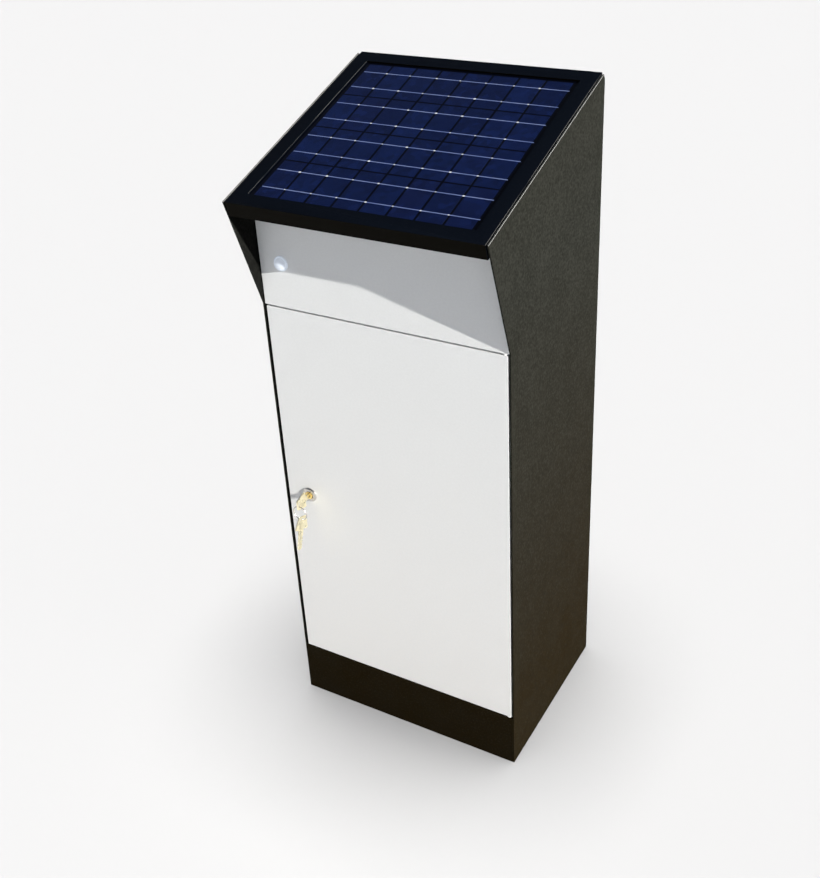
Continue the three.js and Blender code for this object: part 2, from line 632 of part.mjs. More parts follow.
function batteryLid() {
  const outline = roundedRectangle(...batterySpan.x, ...batterySpan.y, 5);
  const lid = prism('z', outline, CASE_TOP + TOUCH, LID_TOP, 4);
  const wells = Object.values(TERMINALS).map((x) =>
    box([x - 14, x + 14], [TERMINAL_Y - 40, TERMINAL_Y + 12], [LID_TOP - 8, LID_TOP + 5]));
  return cut(lid, ...wells);
}

add('battery_lid', batteryLid(), blackPlastic);

// A lead terminal block with a clamping bolt through its upright.
function batteryTerminal(x) {
  const foot = LID_TOP - 8 + TOUCH;
  const block = box([x - 8, x + 8], [TERMINAL_Y - 8, TERMINAL_Y + 8], [foot, foot + 9]);
  return join(block, bar('z', [x, TERMINAL_Y], 6, foot + 5, foot + 18, 20));
}

for (const [name, x] of Object.entries(TERMINALS)) {
  add(`battery_terminal_${name}`, batteryTerminal(x), zinc);
}

// The hold-down: an angle across the lid, drawn down by a rod and wing nut on each side.
const CLAMP_BOTTOM = LID_TOP + TOUCH;

function clampBar() {
  const reach = [-ROD_X - 12, ROD_X + 12];
  const flat = box(reach, [CLAMP_Y - 11, CLAMP_Y + 11], [CLAMP_BOTTOM, CLAMP_BOTTOM + 2.5]);
  const rib = box(reach, [CLAMP_Y + 8.5, CLAMP_Y + 11], [CLAMP_BOTTOM, CLAMP_BOTTOM + 14]);
  const holes = [-ROD_X, ROD_X].map((x) =>
    bar('z', [x, CLAMP_Y], 3.4, CLAMP_BOTTOM - 1, CLAMP_BOTTOM + 4, 16));
  return cut(join(flat, rib), ...holes);
}

add('hold_down_bar', clampBar(), zinc);

// A rod with its wing nut run down on the bar and a head under the tray's ear.
function clampRod(x) {
  const nut = CLAMP_BOTTOM + 2.5 + TOUCH;
  const shank = bar('z', [x, CLAMP_Y], 3, TRAY_TOP + TOUCH, nut + 18, 16);
  const foot = bar('z', [x, CLAMP_Y], 6, TRAY_TOP + TOUCH, TRAY_TOP + 5, 6);
  const hub = bar('z', [x, CLAMP_Y], 5.4, nut, nut + 7, 16);
  const wings = [-1, 1].map((side) =>
    prism('x', [[side * 4, nut + 1], [side * 10, nut + 7], [side * 9, nut + 15], [side * 4, nut + 6]]
      .map(([y, z]) => [CLAMP_Y - 0.5 + y * 0.75, z]), x - 1.2, x + 1.2));
  return join(shank, foot, hub, ...wings);
}

add('hold_down_rod_left', clampRod(-ROD_X), zinc);
add('hold_down_rod_right', clampRod(ROD_X), zinc);

// ---- equipment plate and what is mounted on it ----------------------------------------

const PLATE_Z = [352, 688];

function equipmentPlate() {
  const sheet = box([-158, 158], [PLATE_FACE, PLATE_FACE + SHEET], PLATE_Z);
  const foldReach = [PLATE_FACE, BACK_INNER - TOUCH];
  const left = box([-158, -156], foldReach, PLATE_Z);
  const right = box([156, 158], foldReach, PLATE_Z);
  return join(sheet, left, right);
}

add('equipment_plate', equipmentPlate(), zinc);

const CONTROLLER = { x: [-142, -6], z: [548, 632], depth: 38 };
const controllerBack = PLATE_FACE - TOUCH;
const CONTROLLER_FACE = controllerBack - CONTROLLER.depth;
const BUTTON_RADIUS = 4;
const BUTTON_TRAVEL = 0.8;
const BUTTONS = [['menu', -108], ['minus', -74], ['plus', -40]];
const BUTTON_Z = 567;

// The controller's case, with a well for each button and a step at the foot for its
// terminals.
function controllerCase() {
  const outline = roundedRectangle(...CONTROLLER.x, ...CONTROLLER.z, 6);
  const body = prism('y', outline, CONTROLLER_FACE, controllerBack, 4);
  const wells = BUTTONS.map(([, x]) =>
    bar('y', [x, BUTTON_Z], BUTTON_RADIUS + TOUCH, CONTROLLER_FACE - 1, CONTROLLER_FACE + 6, 24));
  return cut(body, ...wells);
}

add('charge_controller', controllerCase(), blackPlastic);

for (const [name, x] of BUTTONS) {
  const face = CONTROLLER_FACE - 1.4;
  const foot = CONTROLLER_FACE + 6 - BUTTON_TRAVEL - TOUCH;
  const button = bar('y', [x, BUTTON_Z], BUTTON_RADIUS, face, foot, 20);
  add(`controller_button_${name}`, button, greyPlastic);
}

const terminalSpan = [-132, -16];
const TERMINAL_TOP = CONTROLLER.z[0] - TOUCH;
const TERMINAL_BOTTOM = TERMINAL_TOP - 14;
const entryX = (i) => terminalSpan[0] + 10 + i * 19.2;

// Six wire entries along the bottom of the controller's terminal strip.
function controllerTerminals() {
  const strip = box(terminalSpan, [controllerBack - 26, controllerBack], [TERMINAL_BOTTOM, TERMINAL_TOP]);
  const entries = [];
  for (let i = 0; i < 6; i += 1) {
    const middle = [entryX(i), controllerBack - 13];
    entries.push(bar('z', middle, 3.4, TERMINAL_BOTTOM - 1, TERMINAL_BOTTOM + 8, 12));
  }
  return cut(strip, ...entries);
}

add('controller_terminals', controllerTerminals(), greyPlastic);

// A top-hat rail with the breaker and the terminal block on it.
const RAIL_Z = 596;

function dinRail() {
  const back = PLATE_FACE - TOUCH;
  const crown = box([20, 150], [back - 1, back], [RAIL_Z - 12.5, RAIL_Z + 12.5]);
  const webs = [-12.5, 11.5].map((z) => box([20, 150], [back - 7.5, back], [RAIL_Z + z, RAIL_Z + z + 1]));
  const lips = [-17.5, 11.5].map((z) =>
    box([20, 150], [back - 7.5, back - 6.5], [RAIL_Z + z, RAIL_Z + z + 6]));
  return join(crown, ...webs, ...lips);
}

add('din_rail', dinRail(), zinc);

const railFace = PLATE_FACE - TOUCH - 7.5 - TOUCH;
const BREAKER = { x: [32, 68], z: [RAIL_Z - 42, RAIL_Z + 42], front: railFace - 44, nose: railFace - 52 };
const LEVER_Y = BREAKER.nose + 5;

function breakerBody() {
  const body = box(BREAKER.x, [BREAKER.front, railFace], BREAKER.z);
  const nose = box(BREAKER.x, [BREAKER.nose, railFace - 10], [RAIL_Z - 22, RAIL_Z + 22]);
  const opening = box([40, 60], [BREAKER.nose - 1, LEVER_Y + 9], [RAIL_Z - 14, RAIL_Z + 14]);
  const entries = [41, 59].map((x) =>
    bar('z', [x, railFace - 24], 3.6, BREAKER.z[0] - 1, BREAKER.z[0] + 10, 12));
  return cut(join(body, nose), opening, ...entries);
}

add('breaker_body', breakerBody(), greyPlastic);

// The breaker's toggle turns about its spindle: up is on, down is off.
function breakerToggle() {
  const spindle = bar('x', [LEVER_Y, RAIL_Z], 5.5, 40.5, 59.5, 20);
  const lever = box([42, 58], [LEVER_Y - 15, LEVER_Y], [RAIL_Z - 2, RAIL_Z + 2]);
  const shape = geometryOf(join(spindle, lever));
  shape.translate(0, -LEVER_Y, -RAIL_Z);
  return shape;
}

const toggle = add('breaker_toggle', breakerToggle(), redPlastic);
toggle.rotation.x = THREE.MathUtils.degToRad(-38);
toggle.position.set(0, LEVER_Y, RAIL_Z);

function terminalBlock() {
  const block = box([86, 134], [railFace - 34, railFace], [RAIL_Z - 24, RAIL_Z + 24]);
  const entries = [];
  for (let i = 0; i < 6; i += 1) {
    const x = 90 + i * 8;
    entries.push(bar('z', [x, railFace - 16], 2.4, RAIL_Z - 25, RAIL_Z - 14, 10));
    entries.push(bar('z', [x, railFace - 16], 2.4, RAIL_Z + 14, RAIL_Z + 25, 10));
  }
  return cut(block, ...entries);
}

add('terminal_block', terminalBlock(), greyPlastic);

// ---- cable entry ----------------------------------------------------------------------

const glandBody = join(
  bar('z', [GLAND.x, GLAND.y], GLAND.radius, FLOOR - 14, FLOOR + 6, 24),
  bar('z', [GLAND.x, GLAND.y], 14, FLOOR + TOUCH, FLOOR + 9, 6),
  bar('z', [GLAND.x, GLAND.y], 11.5, FLOOR + 8, FLOOR + 20, 24),
);
add('cable_gland', cut(glandBody, bar('z', [GLAND.x, GLAND.y], 5, FLOOR - 16, FLOOR + 22, 16)), blackPlastic);

// ---- wiring, each wire clipped along its way between two terminals ---------------------

const LEAD_RADIUS = 2;
const SENSOR_LEAD_RADIUS = 1.6;
const entryY = controllerBack - 13;
const entryTop = TERMINAL_BOTTOM + 5;
const terminalLug = LID_TOP - 8 + TOUCH + 18 + TOUCH;
const breakerEntryY = railFace - 24;

// A lug that lies on a battery terminal with the start of its lead standing up from it.
function batteryLead(x, points) {
  const lug = bar('z', [x, TERMINAL_Y], 6, terminalLug, terminalLug + 2, 16);
  return join(lug, wire([[x, TERMINAL_Y, terminalLug + 1], ...points], LEAD_RADIUS, 34));
}

const positiveRun = [
  [72, 40, 290], [74, 70, 330], [75, 120, 372], [76, 148, 410], [72, 150, 460], [62, 140, 505],
  [59, breakerEntryY, 530], [59, breakerEntryY, BREAKER.z[0] + 6],
];
const negativeRun = [
  [-72, 40, 290], [-76, 70, 330], [-80, 120, 372], [-80, 148, 410], [-68, 152, 450],
  [entryX(3), 152, 478], [entryX(3), 151, 500], [entryX(3), entryY, 519], [entryX(3), entryY, entryTop],
];
add('battery_lead_positive', batteryLead(TERMINALS.positive, positiveRun), redPlastic);
add('battery_lead_negative', batteryLead(TERMINALS.negative, negativeRun), blackPlastic);

const breakerRun = [
  [41, breakerEntryY, BREAKER.z[0] + 6], [41, breakerEntryY, 536], [34, 130, 514], [8, 134, 500],
  [-30, 134, 496], [-62, 134, 497], [-78, 138, 505], [entryX(2), entryY, 520], [entryX(2), entryY, entryTop],
];
add('breaker_lead', wire(breakerRun, LEAD_RADIUS, 30), redPlastic);

// The two leads from the panel's junction box cross over to the left, one behind the other,
// and run down beside the controller; the outer one makes the wider loop into its terminal.
function panelLead(dx, descent, laneX, loopZ, entry) {
  const start = new THREE.Vector3(JUNCTION.x + dx, JUNCTION.s + 24, JUNCTION.bottom - 9);
  const bend = new THREE.Vector3(JUNCTION.x + dx, JUNCTION.s + 42, JUNCTION.bottom - 10);
  const [from, out] = [start, bend].map((p) => p.applyMatrix4(roof.matrixWorld).toArray());
  const x = entryX(entry);
  return wire([
    from, out, ...descent, [laneX, 152, 770], [laneX, 152, 690], [laneX, 152, 610],
    [laneX, 152, loopZ + 40], [laneX + 6, 151, loopZ + 12], [(laneX + x) / 2, 148, loopZ],
    [x - 4, 145, loopZ + 12], [x, entryY, loopZ + 30], [x, entryY, entryTop],
  ], LEAD_RADIUS, 44);
}

const nearDescent = [[-32, 141, 915], [-74, 141, 870], [-133.5, 146, 820]];
const farDescent = [[-4, 151, 915], [-46, 152, 872], [-139, 152, 826]];
add('panel_lead_positive', panelLead(-14, nearDescent, -147.5, 494, 0), redPlastic);
add('panel_lead_negative', panelLead(14, farDescent, -153, 482, 1), blackPlastic);

// The sensor's lead goes along the left wall, across under the roof and down the right.
const sensorRun = [
  [PIR_X, SENSOR_BACK + TOUCH, PIR_Z - 6], [PIR_X, SENSOR_BACK + 10, PIR_Z - 6], [-168, -70, 770],
  [-174, -40, 764], [-176, 0, 764], [-176, 60, 764], [-176, 120, 764], [-170, 156, 764], [-140, 165, 764],
  [-80, 166, 762], [0, 166, 760], [80, 166, 758], [112, 163, 750], [122, 156, 730], [124, 150, 700],
  [122, 140, 660], [122, railFace - 16, 640], [122, railFace - 16, RAIL_Z + 18],
];
add('sensor_lead', wire(sensorRun, SENSOR_LEAD_RADIUS, 48, 6), greyPlastic);

// A saddle clip that holds the pair of panel leads on the plate.
function leadClip(z) {
  const y = PLATE_FACE - TOUCH;
  const block = box([-157.5, -143.5], [y - 10.5, y], [z - 4, z + 4]);
  const lane = box([-155.3, -145.2], [y - 8.4, y + 1], [z - 5, z + 5]);
  return cut(block, lane);
}

add('lead_clip', leadClip(664), blackPlastic);

export default batteryBox;
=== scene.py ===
import json
import math
import random

import bmesh
import bpy
from mathutils import Matrix, Vector

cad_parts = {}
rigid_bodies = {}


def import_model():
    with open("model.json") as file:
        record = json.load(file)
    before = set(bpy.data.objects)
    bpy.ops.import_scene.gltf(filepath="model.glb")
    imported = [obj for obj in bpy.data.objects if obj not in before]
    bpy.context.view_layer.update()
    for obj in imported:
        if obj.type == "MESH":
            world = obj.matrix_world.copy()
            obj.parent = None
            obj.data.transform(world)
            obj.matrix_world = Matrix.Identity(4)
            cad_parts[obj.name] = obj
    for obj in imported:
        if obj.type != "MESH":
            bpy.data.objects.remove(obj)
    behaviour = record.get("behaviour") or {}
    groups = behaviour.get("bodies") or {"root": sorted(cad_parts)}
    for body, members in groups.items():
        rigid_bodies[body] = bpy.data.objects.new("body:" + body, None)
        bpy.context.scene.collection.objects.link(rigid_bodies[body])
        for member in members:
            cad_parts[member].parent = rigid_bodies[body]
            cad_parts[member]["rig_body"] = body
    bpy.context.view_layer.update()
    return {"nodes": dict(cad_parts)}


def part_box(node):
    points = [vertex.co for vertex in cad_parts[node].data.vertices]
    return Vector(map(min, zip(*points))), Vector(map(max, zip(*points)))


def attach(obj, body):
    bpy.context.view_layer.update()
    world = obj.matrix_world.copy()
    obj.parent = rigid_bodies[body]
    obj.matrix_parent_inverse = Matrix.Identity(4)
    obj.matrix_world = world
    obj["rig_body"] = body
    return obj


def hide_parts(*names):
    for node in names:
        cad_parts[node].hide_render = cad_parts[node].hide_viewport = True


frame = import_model()
nodes = frame["nodes"]
MM = 0.001

# ---- camera, floor and light

CAMERA_PLACE = Vector((0.7389, -1.2727, 1.3953))
CAMERA_YAW, CAMERA_PITCH, CAMERA_ROLL = 31.21, 30.03, -3.36  # degrees, pitch looks down
CAMERA_LENS, CAMERA_SHIFT = 47.5, -0.0444

# strength, angle across in degrees, colour, the way towards it, and whether the floor is the one
# thing left out of it or the one thing in it
LIGHTS = {
    "key": (8.28, 0.6, (1.0, 0.975, 0.92), (0.904, -0.204, 0.375), "EXCLUDE"),
    "back": (4.2, 30.0, (1, 1, 1), (-0.62, 0.76, 0.12), "EXCLUDE"),
    "overhead": (5.12, 32.0, (1, 1, 1), (0.035, 0.0, 1.0), "INCLUDE"),
}
ZENITH, MIDDLE, HORIZON = (0.04, 0.055, 0.10), (0.15, 0.165, 0.20), (0.585, 0.60, 0.63)
MIDDLE_HEIGHT = 0.32  # of the middle tone, from the horizon at 0 to the zenith at 1
BACKDROP_GLOW = 0.91
FLOOR_COLOUR, FLOOR_GLOW = (0.503, 0.496, 0.486), 0.05
FLOOR_HALF = 9.0


def place_camera():
    data = bpy.data.cameras.new("camera")
    data.sensor_width = 36
    data.lens = CAMERA_LENS
    data.shift_y = CAMERA_SHIFT
    camera = bpy.data.objects.new("camera", data)
    bpy.context.scene.collection.objects.link(camera)
    turn = Matrix.Rotation(math.radians(CAMERA_YAW), 4, "Z")
    tilt = Matrix.Rotation(math.radians(90 - CAMERA_PITCH), 4, "X")
    roll = Matrix.Rotation(math.radians(CAMERA_ROLL), 4, "Z")
    camera.matrix_world = Matrix.Translation(CAMERA_PLACE) @ turn @ tilt @ roll
    bpy.context.scene.camera = camera


def stage_piece(name, bm, colour, glow):
    """A matt, faintly glowing surface that belongs to the studio, not to the box."""
    mesh = bpy.data.meshes.new(name)
    bm.to_mesh(mesh)
    bm.free()
    made = bpy.data.objects.new(name, mesh)
    bpy.context.scene.collection.objects.link(made)
    look = bpy.data.materials.new(name)
    look.use_nodes = True
    sockets = look.node_tree.nodes["Principled BSDF"].inputs
    sockets["Base Color"].default_value = (*colour, 1)
    sockets["Roughness"].default_value = 0.95
    sockets["Specular IOR Level"].default_value = 0.0
    sockets["Emission Color"].default_value = (1, 1, 1, 1)
    sockets["Emission Strength"].default_value = glow
    mesh.materials.append(look)
    return made


def lay_floor():
    """A pale floor, on which only a soft pool of shade lies round the box."""
    bm = bmesh.new()
    bmesh.ops.create_grid(bm, x_segments=1, y_segments=1, size=FLOOR_HALF)
    return stage_piece("floor", bm, FLOOR_COLOUR, FLOOR_GLOW)


def raise_backdrop():
    """A pale wall far behind, all round. Only the camera sees it, so it throws no light."""
    bm = bmesh.new()
    bmesh.ops.create_cone(bm, cap_ends=False, segments=96, radius1=FLOOR_HALF, radius2=FLOOR_HALF,
                          depth=FLOOR_HALF * 2)
    backdrop = stage_piece("backdrop", bm, (0, 0, 0), BACKDROP_GLOW)
    backdrop.visible_diffuse = False
    backdrop.visible_glossy = False
    backdrop.visible_transmission = False
    backdrop.visible_shadow = False


def light_studio(floor):
    """A key light from the right and a weaker soft one from behind, both on the box alone,
    a soft one overhead on the floor alone, and a fill that is darker overhead."""
    for name, (strength, angle, colour, towards, state) in LIGHTS.items():
        data = bpy.data.lights.new(name, "SUN")
        data.energy = strength
        data.angle = math.radians(angle)
        data.color = colour
        lamp = bpy.data.objects.new(name, data)
        lamp.rotation_euler = Vector(towards).to_track_quat("Z", "Y").to_euler()
        lamp.visible_glossy = name != "back"  # its reflection would grey the roof's glass
        bpy.context.scene.collection.objects.link(lamp)
        linked = bpy.data.collections.new(name + "_on_floor")
        linked.objects.link(floor)
        lamp.light_linking.receiver_collection = linked
        linked.collection_objects[0].light_linking.link_state = state

    world = bpy.data.worlds.new("studio")
    bpy.context.scene.world = world
    world.use_nodes = True
    tree = world.node_tree
    place = tree.nodes.new("ShaderNodeTexCoord")
    split = tree.nodes.new("ShaderNodeSeparateXYZ")
    ramp = tree.nodes.new("ShaderNodeValToRGB")
    tree.links.new(place.outputs["Generated"], split.inputs["Vector"])
    tree.links.new(split.outputs["Z"], ramp.inputs["Fac"])
    tree.links.new(ramp.outputs["Color"], tree.nodes["Background"].inputs["Color"])
    stops = ramp.color_ramp.elements
    stops[0].position, stops[0].color = 0.0, (*HORIZON, 1)
    stops[1].position, stops[1].color = 1.0, (*ZENITH, 1)
    stops.new(MIDDLE_HEIGHT).color = (*MIDDLE, 1)
    bpy.context.scene.view_settings.view_transform = "Standard"


place_camera()
light_studio(lay_floor())
raise_backdrop()

# ---- materials


class Surface:
    """A Principled material built up in layers. Textures are set by their size in metres."""

    def __init__(self, name, colour, roughness, metallic=0.0, **sockets):
        self.material = bpy.data.materials.new(name)
        self.material.use_nodes = True
        self.tree = self.material.node_tree
        self.shader = self.tree.nodes["Principled BSDF"]
        self.base = colour
        self.colour = None
        self.normal = None
        self.set("Base Color", (*colour, 1))
        self.set("Roughness", roughness)
        self.set("Metallic", metallic)
        for socket, value in sockets.items():
            self.set(socket.replace("_", " "), value)
        self.place = self.tree.nodes.new("ShaderNodeTexCoord").outputs["Object"]

    def set(self, socket, value):
        self.shader.inputs[socket].default_value = value

    def link(self, output, target):
        self.tree.links.new(output, target)

    def node(self, kind, values=None, **settings):
        made = self.tree.nodes.new("ShaderNode" + kind)
        for key, value in settings.items():
            setattr(made, key, value)
        for key, value in (values or {}).items():
            if isinstance(value, bpy.types.NodeSocket):
                self.link(value, made.inputs[key])
            else:
                made.inputs[key].default_value = value
        return made

    def noise(self, size, detail):
        values = {"Vector": self.place, "Scale": 1 / size, "Detail": detail}
        return self.node("TexNoise", values).outputs["Fac"]

    def axis(self, name):
        return self.node("SeparateXYZ", {"Vector": self.place}).outputs[name]

    def maths(self, operation, first, second=0.5):
        return self.node("Math", {0: first, 1: second}, operation=operation).outputs[0]

    def spread(self, value, low, high, to_low=0.0, to_high=1.0):
        """value between low and high, spread over to_low to to_high and held outside."""
        values = {"Value": value, "From Min": low, "From Max": high, "To Min": to_low, "To Max": to_high}
        return self.node("MapRange", values).outputs["Result"]

    def tint(self, mask, colour, low=0.0, high=1.0, strength=1.0):
        """Mixes a colour over what is there, up to strength as the mask goes from low to high."""
        mix = self.node("Mix", data_type="RGBA")
        self.link(self.spread(mask, low, high, 0.0, strength), mix.inputs["Factor"])
        if self.colour is None:
            mix.inputs["A"].default_value = (*self.base, 1)
        else:
            self.link(self.colour, mix.inputs["A"])
        mix.inputs["B"].default_value = (*colour, 1)
        self.colour = mix.outputs["Result"]
        self.link(self.colour, self.shader.inputs["Base Color"])

    def rough(self, size, low, high, detail=3):
        """Varies the roughness between low and high, in blotches of a size."""
        mask = self.spread(self.noise(size, detail), 0.3, 0.7, low, high)
        self.link(mask, self.shader.inputs["Roughness"])

    def bump(self, size, distance):
        """Raises the surface in bumps of a size, whose tops stand distance metres proud."""
        values = {"Height": self.noise(size, 2), "Distance": distance, "Strength": 1.0}
        if self.normal is not None:
            values["Normal"] = self.normal
        self.normal = self.node("Bump", values).outputs["Normal"]
        self.link(self.normal, self.shader.inputs["Normal"])


GLASS = {"Coat_Weight": 1.0, "Coat_Roughness": 0.04, "Coat_IOR": 1.16}  # over the roof's cells
DUST_TOP, DUST_FULL = 0.80, 0.10  # heights in metres, between which dust thickens downwards


def powder_coat(name, colour, light, dark, roughness, grain, specular=0.5, dust=None):
    """Sprayed and baked powder: orange peel, a fine grain and clouds of lighter and darker tone."""
    coat = Surface(name, colour, roughness, Specular_IOR_Level=specular)
    clouds = coat.noise(0.05, 4)
    coat.tint(clouds, light, 0.45, 0.75, 0.2)
    coat.tint(clouds, dark, 0.55, 0.25, 0.2)
    fade = 0.8
    if dust:
        low = coat.spread(coat.axis("Z"), DUST_TOP, DUST_FULL)
        patchy = coat.spread(coat.noise(0.035, 6), 0.25, 0.75, 0.85, 1.0)
        coat.tint(coat.maths("MULTIPLY", low, patchy), dust)
        fade = coat.spread(low, 0.0, 1.0, 0.8, 0.35)
    specks = coat.noise(0.0032, 3)
    coat.tint(coat.maths("MULTIPLY", coat.spread(specks, 0.50, 0.72), fade), light)
    coat.tint(specks, dark, 0.50, 0.28, 0.8)
    coat.rough(0.02, roughness - 0.05, roughness + 0.06)
    coat.bump(0.006, grain * 1.6)
    coat.bump(0.0013, grain)
    return coat.material


def frame_coat():
    """The frame's anodised black, tinged blue as a painted reflection of the sky, and darker and browner on
    its faces towards the front as painted shade with the ground's colour in it.
    """
    coat = Surface("frame_coat", (0.0024, 0.0036, 0.0064), 0.42, Specular_IOR_Level=0.02)
    coat.tint(coat.noise(0.0028, 3), (0.0034, 0.0049, 0.0082), 0.52, 0.72)
    normal = coat.node("SeparateXYZ", {"Vector": coat.node("TexCoord").outputs["Normal"]}).outputs
    # painted shade: the faces towards the front turn darker and browner
    coat.tint(normal["Y"], (0.0024, 0.0019, 0.0008), -0.7, -0.95)
    coat.rough(0.02, 0.37, 0.48)
    coat.bump(0.0013, 2e-5)
    return coat.material


def frame_painted_highlight():
    """The frame's sharp corner, painted a lighter grey as a painted highlight, which fades out in places."""
    edge = Surface("frame_coat_painted_highlight", (0.085, 0.085, 0.080), 0.34, Specular_IOR_Level=0.3)
    edge.tint(edge.noise(0.07, 2), (0.014, 0.015, 0.016), 0.50, 0.60)
    edge.rough(0.02, 0.29, 0.40)
    edge.bump(0.0013, 1e-5)
    return edge.material


def metal(name, colour, tone, roughness, size=0.012, scratch=1e-5):
    """Bare or plated metal with faint stains and fine scratches, spaced by size."""
    sheet = Surface(name, colour, roughness, 1.0)
    sheet.tint(sheet.noise(size, 4), tone, 0.35, 0.75)
    sheet.rough(size * 0.6, roughness - 0.07, roughness + 0.1, 5)
    sheet.bump(size * 0.08, scratch)
    return sheet.material


def plastic(name, colour, tone, roughness, grain=2e-5, **sockets):
    """Moulded plastic with a spark-eroded grain and a faint drift of tone."""
    shell = Surface(name, colour, roughness, **sockets)
    shell.tint(shell.noise(0.03, 3), tone, 0.35, 0.7)
    shell.rough(0.008, roughness - 0.05, roughness + 0.08)
    shell.bump(0.0009, grain)
    return shell.material


def encapsulant():
    """The dark sheet round the cells, under the same glass."""
    sheet = Surface("encapsulant", (0.0008, 0.0012, 0.0032), 0.4, Specular_IOR_Level=0.03, **GLASS)
    sheet.tint(sheet.noise(0.05, 3), (0.0011, 0.0017, 0.0045), 0.4, 0.7)
    return sheet.material


BLACK_COAT = powder_coat("black_coat", (0.0163, 0.0170, 0.0143), (0.0260, 0.0262, 0.0220),
                         (0.0088, 0.0088, 0.0070), 0.55, 6e-5, 0.003, dust=(0.0100, 0.0061, 0.0014))
# A light grey for the walls' edges up the roof: a painted highlight of the glint along them.
PAINTED_HIGHLIGHT_COAT = powder_coat("black_coat_painted_highlight", (0.26, 0.26, 0.255), (0.29, 0.29, 0.284),
                        (0.23, 0.23, 0.225), 0.34, 1e-5, 0.5)
# A darker black for the walls' inward faces: painted shade.
INSIDE_PAINTED_SHADE_COAT = powder_coat("black_coat_painted_shade", (0.0072, 0.0074, 0.0068), (0.0115, 0.0116, 0.0106),
                          (0.0040, 0.0040, 0.0036), 0.55, 6e-5, 0.003)
FRAME_PAINTED_HIGHLIGHT = frame_painted_highlight()
FRAME_COAT = frame_coat()
# The white's low tint only turns it a little warmer towards the bottom.
WHITE_COAT = powder_coat("white_coat", (0.70, 0.715, 0.721), (0.715, 0.730, 0.736),
                         (0.685, 0.697, 0.702), 0.42, 1.2e-5, 0.3, dust=(0.711, 0.700, 0.686))
ZINC = metal("zinc_plate", (0.56, 0.57, 0.58), (0.46, 0.48, 0.50), 0.34)
STEEL = metal("bright_steel", (0.62, 0.62, 0.61), (0.50, 0.50, 0.50), 0.26)
NICKEL = metal("nickel_plate", (0.70, 0.67, 0.62), (0.58, 0.54, 0.48), 0.16, size=0.006, scratch=2e-6)
BRASS = metal("polished_brass", (1.0, 0.93, 0.68), (0.97, 0.87, 0.58), 0.30, scratch=3e-6)
CORE_BRASS = metal("core_brass", (0.98, 0.78, 0.32), (0.84, 0.58, 0.20), 0.24, size=0.004, scratch=3e-6)
LEAD = metal("cast_lead", (0.36, 0.36, 0.38), (0.24, 0.24, 0.26), 0.48, size=0.004, scratch=3e-5)
BLACK_PLASTIC = plastic("black_plastic", (0.018, 0.018, 0.019), (0.026, 0.026, 0.028), 0.48)
GREY_PLASTIC = plastic("grey_plastic", (0.38, 0.40, 0.41), (0.43, 0.44, 0.45), 0.46)
CASE_PLASTIC = plastic("battery_plastic", (0.10, 0.105, 0.115), (0.125, 0.13, 0.14), 0.42, 3e-5)
RED_PLASTIC = plastic("red_plastic", (0.44, 0.018, 0.014), (0.52, 0.03, 0.02), 0.36)
# The lens glows: a painted glow for the light that the thin dome lets through, over a base dark enough that
# the sun does not burn it out.
LENS_PAINTED_GLOW = plastic("lens_plastic_painted_glow", (0.27, 0.29, 0.32), (0.30, 0.32, 0.35), 0.34, 4e-6,
                       Emission_Color=(0.80, 0.88, 1.0, 1.0), Emission_Strength=0.46)
WHITE_PLASTIC = plastic("white_plastic", (0.86, 0.86, 0.85), (0.80, 0.80, 0.79), 0.4)
RUBBER = plastic("rubber", (0.012, 0.012, 0.012), (0.02, 0.02, 0.02), 0.78, 4e-5)
RED_WIRE = plastic("red_wire", (0.42, 0.014, 0.012), (0.36, 0.012, 0.010), 0.42, 8e-6)
BLACK_WIRE = plastic("black_wire", (0.012, 0.012, 0.013), (0.02, 0.02, 0.02), 0.42, 8e-6)
GREY_WIRE = plastic("grey_wire", (0.24, 0.25, 0.26), (0.30, 0.31, 0.32), 0.45, 8e-6)
BLACK_STEEL = metal("blackened_steel", (0.05, 0.05, 0.052), (0.09, 0.09, 0.09), 0.42)
GALVANISED = metal("galvanised_sheet", (0.50, 0.52, 0.54), (0.62, 0.64, 0.66), 0.42, size=0.02)
# The tinned ribbons are drawn as a matt plastic whose blue is a painted reflection of the sky.
RIBBON = plastic("tinned_ribbon", (0.10, 0.145, 0.33), (0.18, 0.23, 0.42), 0.36, 4e-6)
# The solder is drawn as a pale matt plastic: a painted highlight for the glint of the tin.
SOLDER = plastic("solder", (0.72, 0.73, 0.77), (0.62, 0.64, 0.70), 0.35, 1e-5)
GREEN_PLASTIC = plastic("green_plastic", (0.03, 0.30, 0.06), (0.02, 0.22, 0.05), 0.4)
BREAKER_PLASTIC = plastic("breaker_plastic", (0.56, 0.57, 0.56), (0.62, 0.62, 0.61), 0.44)
LABEL = plastic("label_film", (0.70, 0.70, 0.69), (0.64, 0.64, 0.63), 0.3, 4e-6)
BAND = plastic("label_band", (0.02, 0.11, 0.30), (0.02, 0.09, 0.25), 0.3, 4e-6)
DISPLAY = plastic("display_glass", (0.15, 0.20, 0.13), (0.13, 0.18, 0.12), 0.14, 2e-6, Coat_Weight=0.6)
DISPLAY_INK = plastic("display_ink", (0.012, 0.018, 0.012), (0.02, 0.026, 0.02), 0.3, 2e-6)
LAMP = plastic("lamp_plastic", (0.05, 0.42, 0.08), (0.06, 0.50, 0.10), 0.18, 2e-6, Coat_Weight=0.5)
DEEP_SHADE = plastic("dark_groove", (0.02, 0.02, 0.02), (0.03, 0.03, 0.03), 0.7)
ENCAPSULANT = encapsulant()

# ---- building pieces

WELD = 2e-6  # metres between vertices that count as one
SHARP = math.radians(32)  # an edge that turns further than this is kept sharp, or rounded
FLAT = math.radians(0.6)  # faces that turn less than this count as one plane
PARALLEL = 0.999  # the least dot product of two directions that count as one


